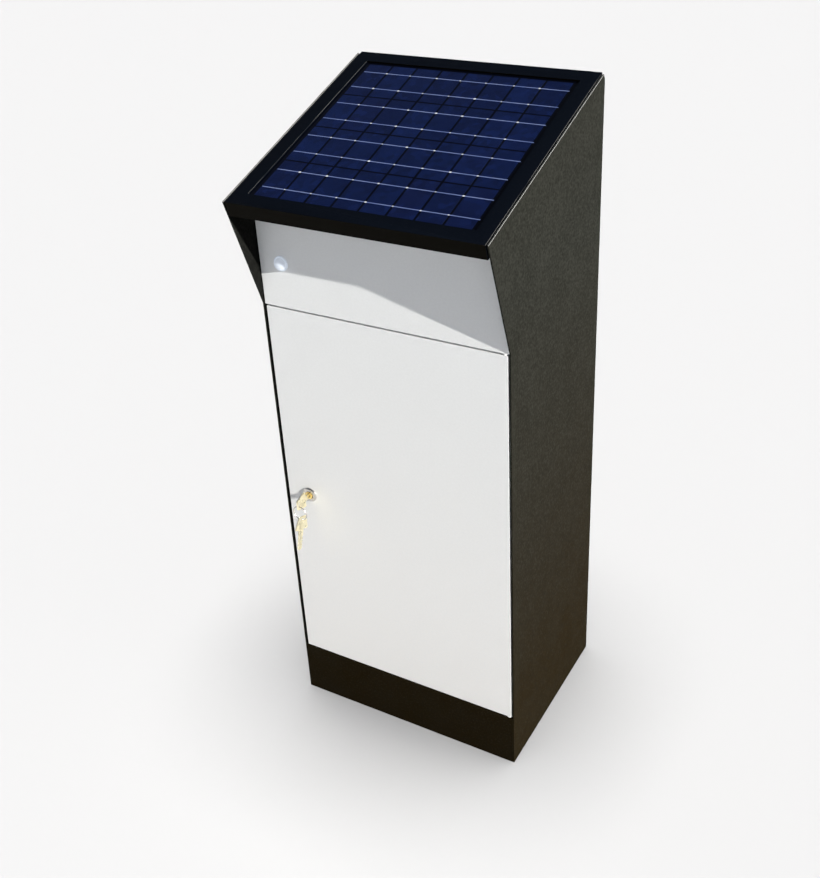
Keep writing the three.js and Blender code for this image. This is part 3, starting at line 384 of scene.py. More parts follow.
def piece(name, bm, material, bevel=0.0, segments=2, body="root", replaces=(), extra=()):
    """Turns a bmesh into a shown piece that rides on a body. Its sharp edges are rounded by bevel,
    which is in mm. extra holds the materials after the first."""
    bmesh.ops.recalc_face_normals(bm, faces=bm.faces)
    mesh = bpy.data.meshes.new(name)
    bm.to_mesh(mesh)
    bm.free()
    for face in mesh.polygons:
        face.use_smooth = True
    mesh.set_sharp_from_angle(angle=SHARP)
    for look in (material, *extra):
        mesh.materials.append(look)
    made = bpy.data.objects.new(name, mesh)
    bpy.context.scene.collection.objects.link(made)
    if bevel:
        rounding = made.modifiers.new("rounded_edges", "BEVEL")
        rounding.width = bevel * MM
        rounding.segments = segments
        rounding.limit_method = "ANGLE"
        rounding.angle_limit = SHARP
        rounding.harden_normals = True
    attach(made, body)
    if replaces:
        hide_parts(*replaces)
    return made


def welded(node):
    """The CAD node's triangles, joined at their corners."""
    bm = bmesh.new()
    bm.from_mesh(nodes[node].data)
    bmesh.ops.remove_doubles(bm, verts=bm.verts, dist=WELD)
    for face in bm.faces:
        face.material_index = 0
    return bm


def from_node(node):
    """The CAD node's shape as clean faces: its flat triangles are joined."""
    bm = welded(node)
    bmesh.ops.dissolve_limit(bm, angle_limit=FLAT, verts=bm.verts, edges=bm.edges)
    return bm


def stand_in(node, name, bm, material, bevel=0.0, segments=2, extra=()):
    """A piece that stands for a CAD node, on the node's body, with the node hidden."""
    return piece(name, bm, material, bevel, segments, nodes[node]["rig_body"], [node], extra)


def rounded(node, name, material, bevel, segments=2):
    """A piece with the CAD node's own shape, whose edges are rounded by bevel mm."""
    stand_in(node, name, from_node(node), material, bevel, segments)


# ---- shapes, drawn in mm

FRONT, REAR = (0, -1, 0), (0, 1, 0)
IN_MM = Matrix.Scale(MM, 4)  # every place holds this, so that mm become metres
ON_AXIS = 1e-4  # a turned point nearer to the axis than this lies on it


def box(node):
    """The lowest corner, the middle and the highest corner of a CAD node's box."""
    low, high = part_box(node)
    return low / MM, (low + high) / 2 / MM, high / MM


def at(point):
    """A place at a point, with its axes along the frame's."""
    return IN_MM @ Matrix.Translation(point)


def facing(point, towards):
    """A place at a point, with its local z axis turned to a direction."""
    return at(point) @ Vector(towards).to_track_quat("Z", "Y").to_matrix().to_4x4()


def add_block(bm, low, high, place=IN_MM):
    """A box between two corners."""
    made = bmesh.ops.create_cube(bm, size=1.0)["verts"]
    low, high = Vector(low), Vector(high)
    size = Matrix.Diagonal((*(high - low), 1))
    bmesh.ops.transform(bm, matrix=place @ Matrix.Translation((low + high) / 2) @ size, verts=made)


def drawn(add, *details):
    """A new bmesh with one shape in it."""
    bm = bmesh.new()
    add(bm, *details)
    return bm


def skin(bm, rings, ends=False):
    """Faces between each ring of vertices and the next, and over both ends if asked. A ring of one
    vertex draws the skin to a point."""
    for first, second in zip(rings, rings[1:]):
        count = max(len(first), len(second))
        for step in range(count):
            after = (step + 1) % count
            corners = (first[step % len(first)], second[step % len(second)],
                       second[after % len(second)], first[after % len(first)])
            bm.faces.new(list(dict.fromkeys(corners)))
    if ends:
        bm.faces.new(rings[0][::-1])
        bm.faces.new(rings[-1])


def turned(angle, radius, height):
    """The point at an angle round the z axis."""
    return Vector((radius * math.cos(angle), radius * math.sin(angle), height))


def ring_at(bm, radius, height, place, sides, reach=None):
    """A ring of vertices round the local z axis, whose radius may vary: reach gives it by angle."""
    ring = []
    for step in range(sides):
        angle = 2 * math.pi * step / sides
        ring.append(bm.verts.new(place @ turned(angle, reach(angle) if reach else radius, height)))
    return ring


def add_turned(bm, profile, place, sides, reach=None, varied=()):
    """A body turned round the local z axis, from (radius, height) points that start and end on
    the axis. The points whose index is in varied take their radius from reach, by angle."""
    rings = []
    for index, (radius, height) in enumerate(profile):
        if radius < ON_AXIS:
            rings.append([bm.verts.new(place @ Vector((0, 0, height)))])
        else:
            rings.append(ring_at(bm, radius, height, place, sides, reach if index in varied else None))
    skin(bm, rings)


def add_ring(bm, outline, place, sides):
    """A body turned round the local z axis whose (radius, height) outline closes on itself."""
    rings = [ring_at(bm, radius, height, place, sides) for radius, height in outline]
    skin(bm, rings + rings[:1])


def flat_ring(bm, outline, height, place):
    """A ring of vertices along an outline of (x, y) points."""
    return [bm.verts.new(place @ Vector((x, y, height))) for x, y in outline]


def add_prism(bm, outline, low, high, place=IN_MM):
    """A flat outline of (x, y) points, extruded along the local z axis from low to high."""
    skin(bm, [flat_ring(bm, outline, low, place), flat_ring(bm, outline, high, place)], ends=True)


def add_border(bm, outer, inner, low, high, place):
    """A frame between two outlines with the same number of points."""
    sides = ((outer, low), (outer, high), (inner, high), (inner, low))
    rings = [flat_ring(bm, outline, height, place) for outline, height in sides]
    skin(bm, rings + rings[:1])


def add_coil(bm, section, place, low, high, steps, around):
    """A section of (reach, rise) points swept round the local z axis while it climbs from low
    to high, in so many steps, of which around make one turn."""
    rings = []
    for step in range(steps + 1):
        angle, climb = 2 * math.pi * step / around, low + (high - low) * step / steps
        rings.append([bm.verts.new(place @ turned(angle, reach, climb + rise)) for reach, rise in section])
    skin(bm, rings, ends=True)


def rounded_outline(low, high, radius, steps=5):
    """The outline of a rectangle with round corners, anticlockwise."""
    points = []
    centres = ((high[0], high[1], 0), (low[0], high[1], 90), (low[0], low[1], 180), (high[0], low[1], 270))
    for x, y, start in centres:
        inward_x = radius if x == low[0] else -radius
        inward_y = radius if y == low[1] else -radius
        for step in range(steps + 1):
            angle = math.radians(start + 90 * step / steps)
            points.append((x + inward_x + radius * math.cos(angle), y + inward_y + radius * math.sin(angle)))
    return points


def slot_outline(half_length, radius, steps=8):
    """The outline of a slot with round ends, along the local x axis."""
    points = []
    for centre, start in ((half_length - radius, -90), (radius - half_length, 90)):
        for step in range(steps + 1):
            angle = math.radians(start + 180 * step / steps)
            points.append((centre + radius * math.cos(angle), radius * math.sin(angle)))
    return points


def cross_recess(arm, half_width):
    """The radius, by angle, of a cross-shaped hole."""
    def reach(angle):
        off = (angle + math.pi / 4) % (math.pi / 2) - math.pi / 4
        side = half_width / max(abs(math.sin(off)), 1e-6)
        return min(arm / math.cos(off), side)
    return reach


def add_screw(bm, place, radius, height):
    """A pan-head screw with a cross recess."""
    profile = [(0, 0), (radius, 0), (radius, height * 0.35), (radius * 0.86, height * 0.82),
               (radius * 0.62, height), (radius * 0.62, height * 0.45), (0, height * 0.45)]
    add_turned(bm, profile, place, 48, cross_recess(radius * 0.62, radius * 0.13), (4, 5))


def add_rivet(bm, place, radius, height):
    """A domed rivet head with the dimple that its mandrel leaves."""
    profile = [(0, 0), (radius, 0), (radius * 0.94, height * 0.35), (radius * 0.68, height * 0.85),
               (radius * 0.38, height), (radius * 0.30, height * 0.70), (0, height * 0.66)]
    add_turned(bm, profile, place, 24)


def add_spot_weld(bm, place, radius, height):
    """The shallow ring that a spot weld leaves under the coat."""
    profile = [(0, 0), (radius, 0), (radius * 0.9, height), (radius * 0.7, height),
               (radius * 0.5, height * 0.3), (0, height * 0.2)]
    add_turned(bm, profile, place, 20)


def fasteners(name, points, towards, size, material, body="root", add=add_screw):
    """Several like fasteners in one piece, all facing one way. size is (radius, height)."""
    bm = bmesh.new()
    for point in points:
        add(bm, facing(point, towards), *size)
    piece(name, bm, material, body=body)


def grid(xs, y, zs):
    """The points at each x and z of a plane square to the y axis."""
    return [(x, y, z) for x in xs for z in zs]


def corners_of(node, inset, side):
    """The four points inset from the corners of a node's box, on its front or its rear."""
    low, _, high = box(node)
    return grid((low.x + inset, high.x - inset), (low if side == FRONT else high).y,
                (low.z + inset, high.z - inset))


# ---- the roof's own frame

laminate_points = [v.co for v in nodes["pv_laminate"].data.vertices]
ROOF_LOW = min(laminate_points, key=lambda v: v.y)  # on the top face's lower edge
ROOF_HIGH = max(laminate_points, key=lambda v: v.z)  # on the top face's upper edge
SLOPE = math.atan2(ROOF_HIGH.z - ROOF_LOW.z, ROOF_HIGH.y - ROOF_LOW.y)
# x across, y up the slope from the laminate's lower edge, z square to it from its top face
ROOF = Matrix.Translation((0, ROOF_LOW.y, ROOF_LOW.z)) @ Matrix.Rotation(SLOPE, 4, "X") @ IN_MM
FRAME_RISE = 2.3  # of the frame's top over the laminate's

# ---- sheet metal

BACK_SCREW_HEIGHTS = (60, 260, 460, 660, 860)
JAMB_RIVET_HEIGHTS = (140, 290, 440, 590, 690)
SPOT_WELDS = 8  # down each flange of the door's stiffener


def up_the_roof(edge):
    """Whether an edge runs up the slope in the plane of the frame's top."""
    first, second = (ROOF.inverted() @ v.co for v in edge.verts)
    level = abs(first.z - FRAME_RISE) < 0.2 and abs(second.z - FRAME_RISE) < 0.2
    return level and abs(first.y - second.y) > 0.8 * abs(first.x - second.x) + 5


def painted_highlight_edged(node, name, material, highlight_look, bevel, width):
    """A rounded piece whose edges up the roof are bevelled in a second, lighter material: a painted
    highlight along them.
    """
    bm = from_node(node)
    edges = [e for e in bm.edges if not e.is_manifold or e.calc_face_angle(0) > SHARP]
    picked = [e for e in edges if up_the_roof(e)]
    bmesh.ops.bevel(bm, geom=picked, offset=width * MM, segments=3, profile=0.5, affect="EDGES", material=1)
    return stand_in(node, name, bm, material, bevel, extra=[highlight_look])


def paint_inside_shade(wall, inward):
    """The faces of a wall that turn inward take a darker black, without dust: painted shade on the wall's
    inner side.
    """
    wall.data.materials.append(INSIDE_PAINTED_SHADE_COAT)
    for face in wall.data.polygons:
        if face.normal.dot(inward) > PARALLEL:
            face.material_index = len(wall.data.materials) - 1


def make_housing():
    """The coated sheets and the angles inside them, the back's screws and the jambs' rivets."""
    for side, inward in (("left", Vector((1, 0, 0))), ("right", Vector((-1, 0, 0)))):
        wall = painted_highlight_edged(side + "_side_panel", side + "_side_wall", BLACK_COAT, PAINTED_HIGHLIGHT_COAT, 0.6, 0.45)
        paint_inside_shade(wall, inward)
        rounded(side + "_jamb", side + "_door_jamb", BLACK_COAT, 0.5)
        rounded(side + "_roof_rail", side + "_roof_angle", ZINC, 0.5)
    rounded("back_panel", "back_sheet", BLACK_COAT, 0.25)
    rounded("kick_plate", "kick_sheet", BLACK_COAT, 0.6)
    rounded("base_plate", "floor_tray", BLACK_COAT, 0.6)
    rounded("soffit_panel", "soffit_sheet", BLACK_COAT, 0.3)
    rounded("head_rail", "door_head_rail", BLACK_COAT, 0.5)
    rounded("sill_rail", "door_sill_rail", BLACK_COAT, 0.5)
    rounded("fascia_panel", "fascia_sheet", WHITE_COAT, 0.5)

    low, _, high = box("left_side_panel")
    reach = -low.x - 9
    rear = grid((-reach, reach), high.y, BACK_SCREW_HEIGHTS)
    fasteners("back_screws", rear, REAR, (3.5, 2.2), BLACK_STEEL)
    low, _, high = box("left_jamb")
    reach = -high.x + 11
    rivets = grid((-reach, reach), low.y + 2, JAMB_RIVET_HEIGHTS)
    fasteners("jamb_rivets", rivets, REAR, (3.2, 1.1), ZINC, add=add_rivet)


def make_door():
    """The door's skin, its hat section with spot welds down both flanges, and its seal."""
    rounded("door_panel", "door_skin", WHITE_COAT, 0.5, 3)
    rounded("door_stiffener", "door_hat_section", WHITE_COAT, 0.6)
    rounded("door_seal", "door_gasket", RUBBER, 1.2, 3)
    low, _, high = box("door_stiffener")
    reach = high.x - 6
    heights = [low.z + (high.z - low.z) * (step + 0.5) / SPOT_WELDS for step in range(SPOT_WELDS)]
    welds = grid((-reach, reach), low.y + 1.5, heights)
    fasteners("door_spot_welds", welds, REAR, (2.6, 0.25), WHITE_COAT, "door", add_spot_weld)


def make_hinges():
    """The zinc pins and the white washers between the door's leaves and the jamb's."""
    for end in ("lower", "upper"):
        rounded(end + "_hinge_pin", end + "_pin", ZINC, 0.3)
        rounded(end + "_hinge_washer", end + "_washer", WHITE_PLASTIC, 0.3)


# ---- solar panel

COLUMNS, ROWS = 8, 4
COLUMN_PITCH, ROW_PITCH = 39.5, 79.3
COLUMN_GAP, ROW_GAP = 3.4, 2.5
FIELD_START = 19.0  # of the cells, from the laminate's lower edge
BUSBARS = (19.3, 57.5)  # from each row's lower edge
BUSBAR_WIDTH = 1.5
FINGER_PITCH = 2.05  # of the silver fingers
CRYSTAL = 8.5  # across a grain of the silicon
CELL_FOOT, CELL_TOP = 0.02, 0.22  # over the laminate's top face


def cell_material():
    """Blue polycrystalline silicon under glass: crystals, cells of uneven tone, silver fingers."""
    cells = Surface("solar_cells", (0.0016, 0.0054, 0.033), 0.35, Specular_IOR_Level=0.05, **GLASS)
    column = cells.maths("FLOOR", cells.maths("DIVIDE", cells.axis("X"), COLUMN_PITCH * MM))
    upward = cells.maths("SUBTRACT", cells.axis("Y"), ROOF_LOW.y + FIELD_START * MM * math.cos(SLOPE))
    row = cells.maths("FLOOR", cells.maths("DIVIDE", upward, ROW_PITCH * MM * math.cos(SLOPE)))
    place = cells.node("CombineXYZ", {"X": column, "Y": row}).outputs[0]
    tone = cells.node("TexWhiteNoise", {"Vector": place}, noise_dimensions="3D").outputs
    cells.tint(tone["Value"], (0.0026, 0.0090, 0.051), 0.2, 1.0, 0.8)
    split = cells.node("SeparateColor", {"Color": tone["Color"]}).outputs
    cells.tint(split["Green"], (0.0034, 0.0050, 0.030), 0.6, 1.0, 0.45)
    flat = cells.node("VectorMath", {0: cells.place, 1: (1.0, 1.0, 0.2)}, operation="MULTIPLY").outputs[0]
    grains = cells.node("TexVoronoi", {"Vector": flat, "Scale": 1 / (CRYSTAL * MM)}).outputs["Color"]
    facets = cells.node("SeparateColor", {"Color": grains}).outputs
    cells.tint(facets["Red"], (0.0044, 0.0125, 0.069), 0.55, 1.0, 0.50)
    cells.tint(facets["Blue"], (0.0010, 0.0034, 0.022), 0.5, 1.0, 0.60)
    finger = cells.maths("FRACT", cells.maths("DIVIDE", cells.axis("X"), FINGER_PITCH * MM))
    cells.tint(cells.maths("GREATER_THAN", finger, 0.93), (0.08, 0.11, 0.22), strength=0.20)
    cells.bump(0.0016, 1e-5)
    return cells.material


def make_solar_panel():
    """The frame, the laminate, and on it the cells, their ribbons and the solder on the ribbons."""
    painted_highlight_edged("panel_frame", "solar_panel_frame", FRAME_COAT, FRAME_PAINTED_HIGHLIGHT, 0.5, 0.35)
    rounded("pv_laminate", "solar_laminate", ENCAPSULANT, 0.3)
    left = -COLUMNS * COLUMN_PITCH / 2
    cells, bars, joints = bmesh.new(), bmesh.new(), bmesh.new()
    for row in range(ROWS):
        start = FIELD_START + row * ROW_PITCH
        for column in range(COLUMNS):
            x = left + column * COLUMN_PITCH
            add_block(cells, (x + COLUMN_GAP / 2, start, CELL_FOOT),
                      (x + COLUMN_PITCH - COLUMN_GAP / 2, start + ROW_PITCH - ROW_GAP, CELL_TOP), ROOF)
    piece("solar_cells", cells, cell_material())

    draw = random.Random(4)
    for row in range(ROWS):
        for offset in BUSBARS:
            y = FIELD_START + row * ROW_PITCH + offset
            add_block(bars, (left + 2.5, y - BUSBAR_WIDTH / 2, CELL_TOP),
                      (-left + 0.5, y + BUSBAR_WIDTH / 2, CELL_TOP + 0.12), ROOF)
            for column in range(1, COLUMNS):
                x = left + column * COLUMN_PITCH + draw.uniform(-2.6, 1.2)
                size = draw.uniform(0.55, 1.0)
                profile = [(0, 0), (size * 1.5, 0), (size * 1.3, 0.10), (size * 0.7, 0.22), (0, 0.26)]
                drawn_out = Matrix.Diagonal((1.4, 1.0, 1.0, 1.0))
                place = ROOF @ Matrix.Translation((x, y, CELL_TOP + 0.1)) @ drawn_out
                add_turned(joints, profile, place, 16)
    piece("solar_busbars", bars, RIBBON, 0.04, 1)
    piece("solar_solder_joints", joints, SOLDER)


# ---- motion sensor

DOME_SHARE = 0.83  # of the lens's radius; the rest is rim
FACETS_AROUND = (1, 6, 12, 18, 22)  # lens facets in each ring, from the middle outwards
FACET_DEPTH = 0.28
DOME_FOOT = 1.5  # from the lens's back
DOME_STEPS = 20


def make_sensor():
    """A dome of small lens facets in rings, standing out of a clipped rim, and the housing."""
    low, middle, high = box("sensor_lens")
    rim, depth = (high.x - low.x) / 2, high.y - low.y
    dome = rim * DOME_SHARE
    place = facing((middle.x, high.y, middle.z), FRONT)
    profile = [(0, 0), (rim, 0), (rim, 1.0), (rim - 0.5, 1.7), (rim - 1.2, 1.9), (dome, DOME_FOOT)]
    for step in range(DOME_STEPS + 1):
        angle = math.pi / 2 * step / DOME_STEPS
        profile.append((dome * 0.985 * math.cos(angle), DOME_FOOT + (depth - DOME_FOOT) * math.sin(angle)))

    bm = bmesh.new()
    add_turned(bm, profile, place, 96)
    back = place.inverted()
    for vert in bm.verts:
        local = back @ vert.co
        reach = math.hypot(local.x, local.y)
        if local.z <= 1.6 or not 0 < reach <= dome:
            continue
        across = min(reach / dome, 0.999) * len(FACETS_AROUND)
        ring = int(across)
        turns = math.atan2(local.y, local.x) / (2 * math.pi) * FACETS_AROUND[ring]
        swell = math.sin(math.pi * (across - ring)) * abs(math.sin(math.pi * turns) if ring else 1)
        local.z += FACET_DEPTH * (math.sqrt(swell) - 1)
        vert.co = place @ local
    stand_in("sensor_lens", "sensor_dome", bm, LENS_PAINTED_GLOW)
    rounded("sensor_module", "sensor_housing", BLACK_PLASTIC, 0.8)
    corners = corners_of("sensor_module", 5, REAR)
    fasteners("sensor_screws", corners, REAR, (2.2, 1.3), ZINC)


# ---- lock and keys


def make_lock():
    """The cam lock: a low domed rim, its plug, and the nut, cam and screw behind the door."""
    low, middle, high = box("lock_body")
    plug_low, _, plug_high = box("lock_plug")
    bore = (plug_high.x - plug_low.x) / 2 + 0.3
    rim = (high.x - low.x) / 2
    face = box("door_panel")[0].y - 0.3
    nose, barrel = face - low.y, high.y - face
    outline = [(bore, nose - 0.5), (bore + 0.4, nose), (8.4, nose), (9.6, nose - 0.3), (10.7, nose - 0.9),
               (11.5, 1.5), (rim - 0.12, 1.1), (rim, 0.8), (rim, 0.25), (rim - 0.25, 0.0),
               (9.4, 0.0), (9.4, -barrel + 0.4), (9.0, -barrel), (bore, -barrel)]
    bm = drawn(add_ring, outline, facing((middle.x, face, middle.z), FRONT), 64)
    stand_in("lock_body", "lock_nose", bm, NICKEL)
    rounded("lock_plug", "lock_core", CORE_BRASS, 0.25)
    rounded("lock_nut", "lock_backnut", ZINC, 0.5)
    rounded("lock_cam", "lock_tongue", ZINC, 0.4)

    low, middle, high = box("cam_screw")
    head = (high.x - low.x) / 2
    seat = high.y - 3
    profile = [(0, low.y - seat), (2, low.y - seat), (2, 0), (head, 0), (head, 1.6),
               (head - 0.7, 2.7), (2.7, 3), (2.7, 1.4), (0, 1.4)]
    recess = cross_recess(2.7, 0.6)
    bm = drawn(add_turned, profile, facing((middle.x, seat, middle.z), REAR), 48, recess, (6, 7))
    stand_in("cam_screw", "tongue_screw", bm, ZINC)


def coined_key(node, name):
    """A stamped key: its flat sides are sunk inside a raised border."""
    bm = from_node(node)
    largest = max(bm.faces, key=lambda f: f.calc_area()).normal.copy()
    flats = [f for f in bm.faces if abs(f.normal.dot(largest)) > PARALLEL]
    for side in (1, -1):
        faces = [f for f in flats if f.normal.dot(largest) * side > 0]
        bmesh.ops.inset_region(bm, faces=faces, thickness=1.3 * MM, depth=-0.35 * MM, use_even_offset=True)
    stand_in(node, name, bm, BRASS, 0.22)


def make_keys():
    """The key in the lock, the spare one, and the split ring of two turns of flattened wire."""
    coined_key("key_in_lock", "fitted_key")
    coined_key("spare_key", "hanging_key")
    low, middle, high = box("key_ring")
    wire = (high.y - low.y) / 2
    reach = (high.x - low.x) / 2 - wire
    around, corners = 120, 12
    turns = [2 * math.pi * corner / corners for corner in range(corners)]
    section = [(reach + wire * math.cos(turn), 0.5 * wire * math.sin(turn)) for turn in turns]
    bm = drawn(add_coil, section, facing(middle, REAR), -0.5 * wire, 0.5 * wire, 2 * around, around)
    stand_in("key_ring", "split_ring", bm, NICKEL)


# ---- battery

RIB_WIDTH, RIB_RISE = 4, 1.4
FRONT_RIBS = (-84, -72, -60, 60, 72, 84)  # across the case
SIDE_RIBS = 9
VENT_PLUGS, VENT_PITCH = 6, 30
LABEL_RISE, BAND_RISE = 0.35, 0.45


def make_battery():
    """A ribbed case with a coloured band, a lid with vent plugs, lead posts and the clamp."""
    low, middle, high = box("battery_case")
    bm = bmesh.new()
    rise = Vector((RIB_RISE, RIB_RISE, 0))
    add_prism(bm, rounded_outline(low + rise, high - rise, 5), low.z, high.z)
    outer = rounded_outline(low, high, 6)
    add_prism(bm, outer, low.z, low.z + 9)
    add_prism(bm, outer, high.z - 13, high.z)
    foot, top, half = low.z + 8, high.z - 12, RIB_WIDTH / 2
    for x in FRONT_RIBS:
        for y in (low.y, high.y - RIB_RISE):
            add_block(bm, (x - half, y, foot), (x + half, y + RIB_RISE, top))
    for step in range(SIDE_RIBS):
        y = low.y + (high.y - low.y) * (step + 1) / (SIDE_RIBS + 1)
        for x in (low.x, high.x - RIB_RISE):
            add_block(bm, (x, y - half, foot), (x + RIB_RISE, y + half, top))
    stand_in("battery_case", "battery_box_case", bm, CASE_PLASTIC, 0.5)

    place = facing((0, low.y + RIB_RISE, middle.z - 2), FRONT)
    bm = drawn(add_prism, rounded_outline((-47, -38), (47, 38), 4), 0, LABEL_RISE, place)
    piece("battery_plain_label", bm, LABEL, 0.1, 1)
    bm = drawn(add_prism, rounded_outline((-47, 14), (47, 31), 0.5), LABEL_RISE, BAND_RISE, place)
    piece("battery_label_band", bm, BAND)

    rounded("battery_lid", "battery_box_lid", BLACK_PLASTIC, 1.4, 3)
    low, _, high = box("battery_lid")
    bm = bmesh.new()
    profile = [(0, 0), (9, 0), (9, 1.1), (8.4, 1.6), (5.5, 1.6), (5.5, 0.5), (0, 0.5)]
    recess = cross_recess(5.2, 1.1)
    for step in range(VENT_PLUGS):
        place = at((-75 + step * VENT_PITCH, low.y + 66, high.z))
        add_turned(bm, profile, place, 48, recess, (4, 5))
    for x in (low.x + 8, high.x - 8):
        for step in range(5):
            y = low.y + 48 + step * 8
            add_block(bm, (x - 3, y, high.z), (x + 3, y + 3, high.z + 0.9))
    piece("battery_vent_plugs", bm, BLACK_PLASTIC, 0.25)

    pole_ring = [(9.2, 0), (9.2, 2.2), (8.6, 2.6), (7.0, 2.6), (6.4, 2.2), (6.4, 0)]
    for end, colour, look in (("positive", "red", RED_PLASTIC), ("negative", "black", BLACK_PLASTIC)):
        node = "battery_terminal_" + end
        rounded(node, end + "_post", LEAD, 0.8)
        low, middle, _ = box(node)
        bm = drawn(add_ring, pole_ring, at((middle.x, middle.y, low.z + 9)), 40)
        piece(end + "_pole_ring", bm, look)

    rounded("battery_tray", "battery_tray_pan", ZINC, 0.5)
    rounded("hold_down_bar", "clamp_angle", ZINC, 0.5)
    for side in ("left", "right"):
        node = "hold_down_rod_" + side
        rounded(node, side + "_clamp_rod", ZINC, 0.35)
        _, middle, high = box(node)
        place = at((middle.x, box("hold_down_bar")[1].y, 0))
        make_thread(side + "_rod_thread", place, high.z - 17, high.z, 3.0)


def make_thread(name, place, low, high, radius, pitch=1.0):
    """A screw thread standing just proud of a rod's end."""
    foot, crest, half = radius - 0.1, radius + 0.32, 0.38 * pitch
    around = 16
    steps = int((high - low - pitch) / pitch * around)
    bm = drawn(add_coil, [(foot, -half), (crest, 0.0), (foot, half)], place,
               low + pitch / 2, high - pitch / 2, steps, around)
    piece(name, bm, ZINC)


# ---- equipment

MARK_FOOT, MARK_TOP = -0.05, 0.18  # of a button's mark, from the button's face
INK_FOOT, INK_TOP = 0.4, 0.48  # of the display's bars, from the case's face


def make_display(place):
    """A bezel round a green window, with rising bars and a plain battery shape in dark ink."""
    outer = rounded_outline((-34, -19), (34, 19), 3)
    inner = rounded_outline((-30, -15), (30, 15), 1.5)
    bm = drawn(add_border, outer, inner, 0, 1.2, place)
    piece("display_bezel", bm, GREY_PLASTIC, 0.4)
    bm = drawn(add_prism, inner, 0, INK_FOOT, place)
    piece("display_window", bm, DISPLAY)
    bm = bmesh.new()
    for step in range(5):
        x = -22 + step * 5.2
        add_block(bm, (x, -9, INK_FOOT), (x + 3.6, -9 + 3.2 * (step + 1), INK_TOP), place)
    outline = [(6, -9), (24, -9), (24, -8.2), (6.8, -8.2), (6.8, 1.2), (23.2, 1.2), (23.2, -8.2),
               (24, -8.2), (24, 2), (6, 2)]
    add_prism(bm, outline, INK_FOOT, INK_TOP, place)
    for step in range(3):
        x = 8.4 + 5 * step
        add_block(bm, (x, -6.8, INK_FOOT), (x + 3.6, -0.2, INK_TOP), place)
    piece("display_bars", bm, DISPLAY_INK)


def make_buttons(on_face):
    """Three buttons, each with its mark, and the surrounds that they stand in."""
    marks = {
        "menu": [(1.7, y, 0.28) for y in (-1.3, 0, 1.3)],
        "minus": [(1.9, 0, 0.32)],
        "plus": [(1.9, 0, 0.32), (0.32, 0, 1.9)],
    }
    surround = [(4.4, 0), (6.2, 0), (5.9, 0.6), (5.0, 0.8), (4.4, 0.6)]
    rings = bmesh.new()
    for name, bars in marks.items():
        node = "controller_button_" + name
        rounded(node, name + "_button", GREY_PLASTIC, 0.7, 3)
        low, middle, _ = box(node)
        add_ring(rings, surround, on_face(middle.x, middle.z), 36)
        place = facing((middle.x, low.y, middle.z), FRONT)
        bm = bmesh.new()
        for x, y, half in bars:
            add_block(bm, (-x, y - half, MARK_FOOT), (x, y + half, MARK_TOP), place)
        piece(name + "_button_mark", bm, WHITE_PLASTIC, body="button_" + name)
    piece("button_surrounds", rings, GREY_PLASTIC)


def make_controller():
    """The charge controller: its display, lamps, buttons, cooling fins, screws and terminals."""
    low, middle, high = box("charge_controller")
    rounded("charge_controller", "controller_case", BLACK_PLASTIC, 1.6, 3)
    front, display_z = low.y, high.z - 27

    def on_face(x, z):
        return facing((x, front, z), FRONT)

    make_display(on_face(middle.x, display_z))
    rims, lamps = bmesh.new(), bmesh.new()
    for step in range(3):
        place = on_face(high.x - 12, high.z - 14 - step * 11)
        add_ring(rims, [(1.9, 0), (3.0, 0), (3.0, 0.7), (2.4, 1.0), (1.9, 0.8)], place, 24)
        add_turned(lamps, [(0, 0), (1.8, 0), (1.8, 0.8), (1.3, 1.4), (0.6, 1.7), (0, 1.8)], place, 24)
    piece("lamp_rims", rims, BLACK_PLASTIC)
    piece("lamps", lamps, LAMP)

    fins = bmesh.new()
    for step in range(9):
        z = low.z + 14 + step * 7
        for x0, x1 in ((low.x - 1.6, low.x + 2), (high.x - 2, high.x + 1.6)):
            add_block(fins, (x0, front + 9, z), (x1, high.y - 3, z + 3))
    piece("controller_fins", fins, BLACK_PLASTIC, 0.4)
    corners = corners_of("charge_controller", 7, FRONT)
    corners = [(x, y, z) for x, y, z in corners if x < middle.x or z < display_z]  # the lamps take one
    fasteners("controller_screws", corners, FRONT, (2.6, 1.2), ZINC)
    make_buttons(on_face)

    rounded("controller_terminals", "controller_terminal_strip", GREY_PLASTIC, 0.5)
    low, middle, high = box("controller_terminals")
    pitch = 19.2
    heads = grid([low.x + 10 + step * pitch for step in range(6)], low.y, [middle.z])
    fasteners("terminal_screws", heads, FRONT, (3.0, 1.3), STEEL)
    walls = bmesh.new()
    for step in range(7):
        x = low.x + 0.4 + step * pitch
        if x < high.x:
            add_block(walls, (x, low.y - 1.6, low.z), (x + 1.2, low.y + 1, high.z))
    piece("terminal_barriers", walls, GREY_PLASTIC, 0.3)


def make_rail():
    """The mounting plate with its screws, and the top-hat rail with its slots, drawn as flat dark patches of
    painted shade.
    """
    rounded("equipment_plate", "mounting_plate", GALVANISED, 0.5)
    corners = corners_of("equipment_plate", 14, FRONT)
    fasteners("plate_screws", corners, FRONT, (4.5, 2.6), STEEL)
    rounded("din_rail", "top_hat_rail", ZINC, 0.3)
    _, middle, high = box("din_rail")
    face = high.y - 1.0
    slots = bmesh.new()
    for x in (27, 76, 141):
        add_prism(slots, slot_outline(6, 2.6), 0.0, 0.05, facing((x, face, middle.z), FRONT))
    piece("rail_slots", slots, DEEP_SHADE)
    heads = grid((24.5, 144), face, [middle.z])
    fasteners("rail_screws", heads, FRONT, (3.0, 2.0), STEEL)


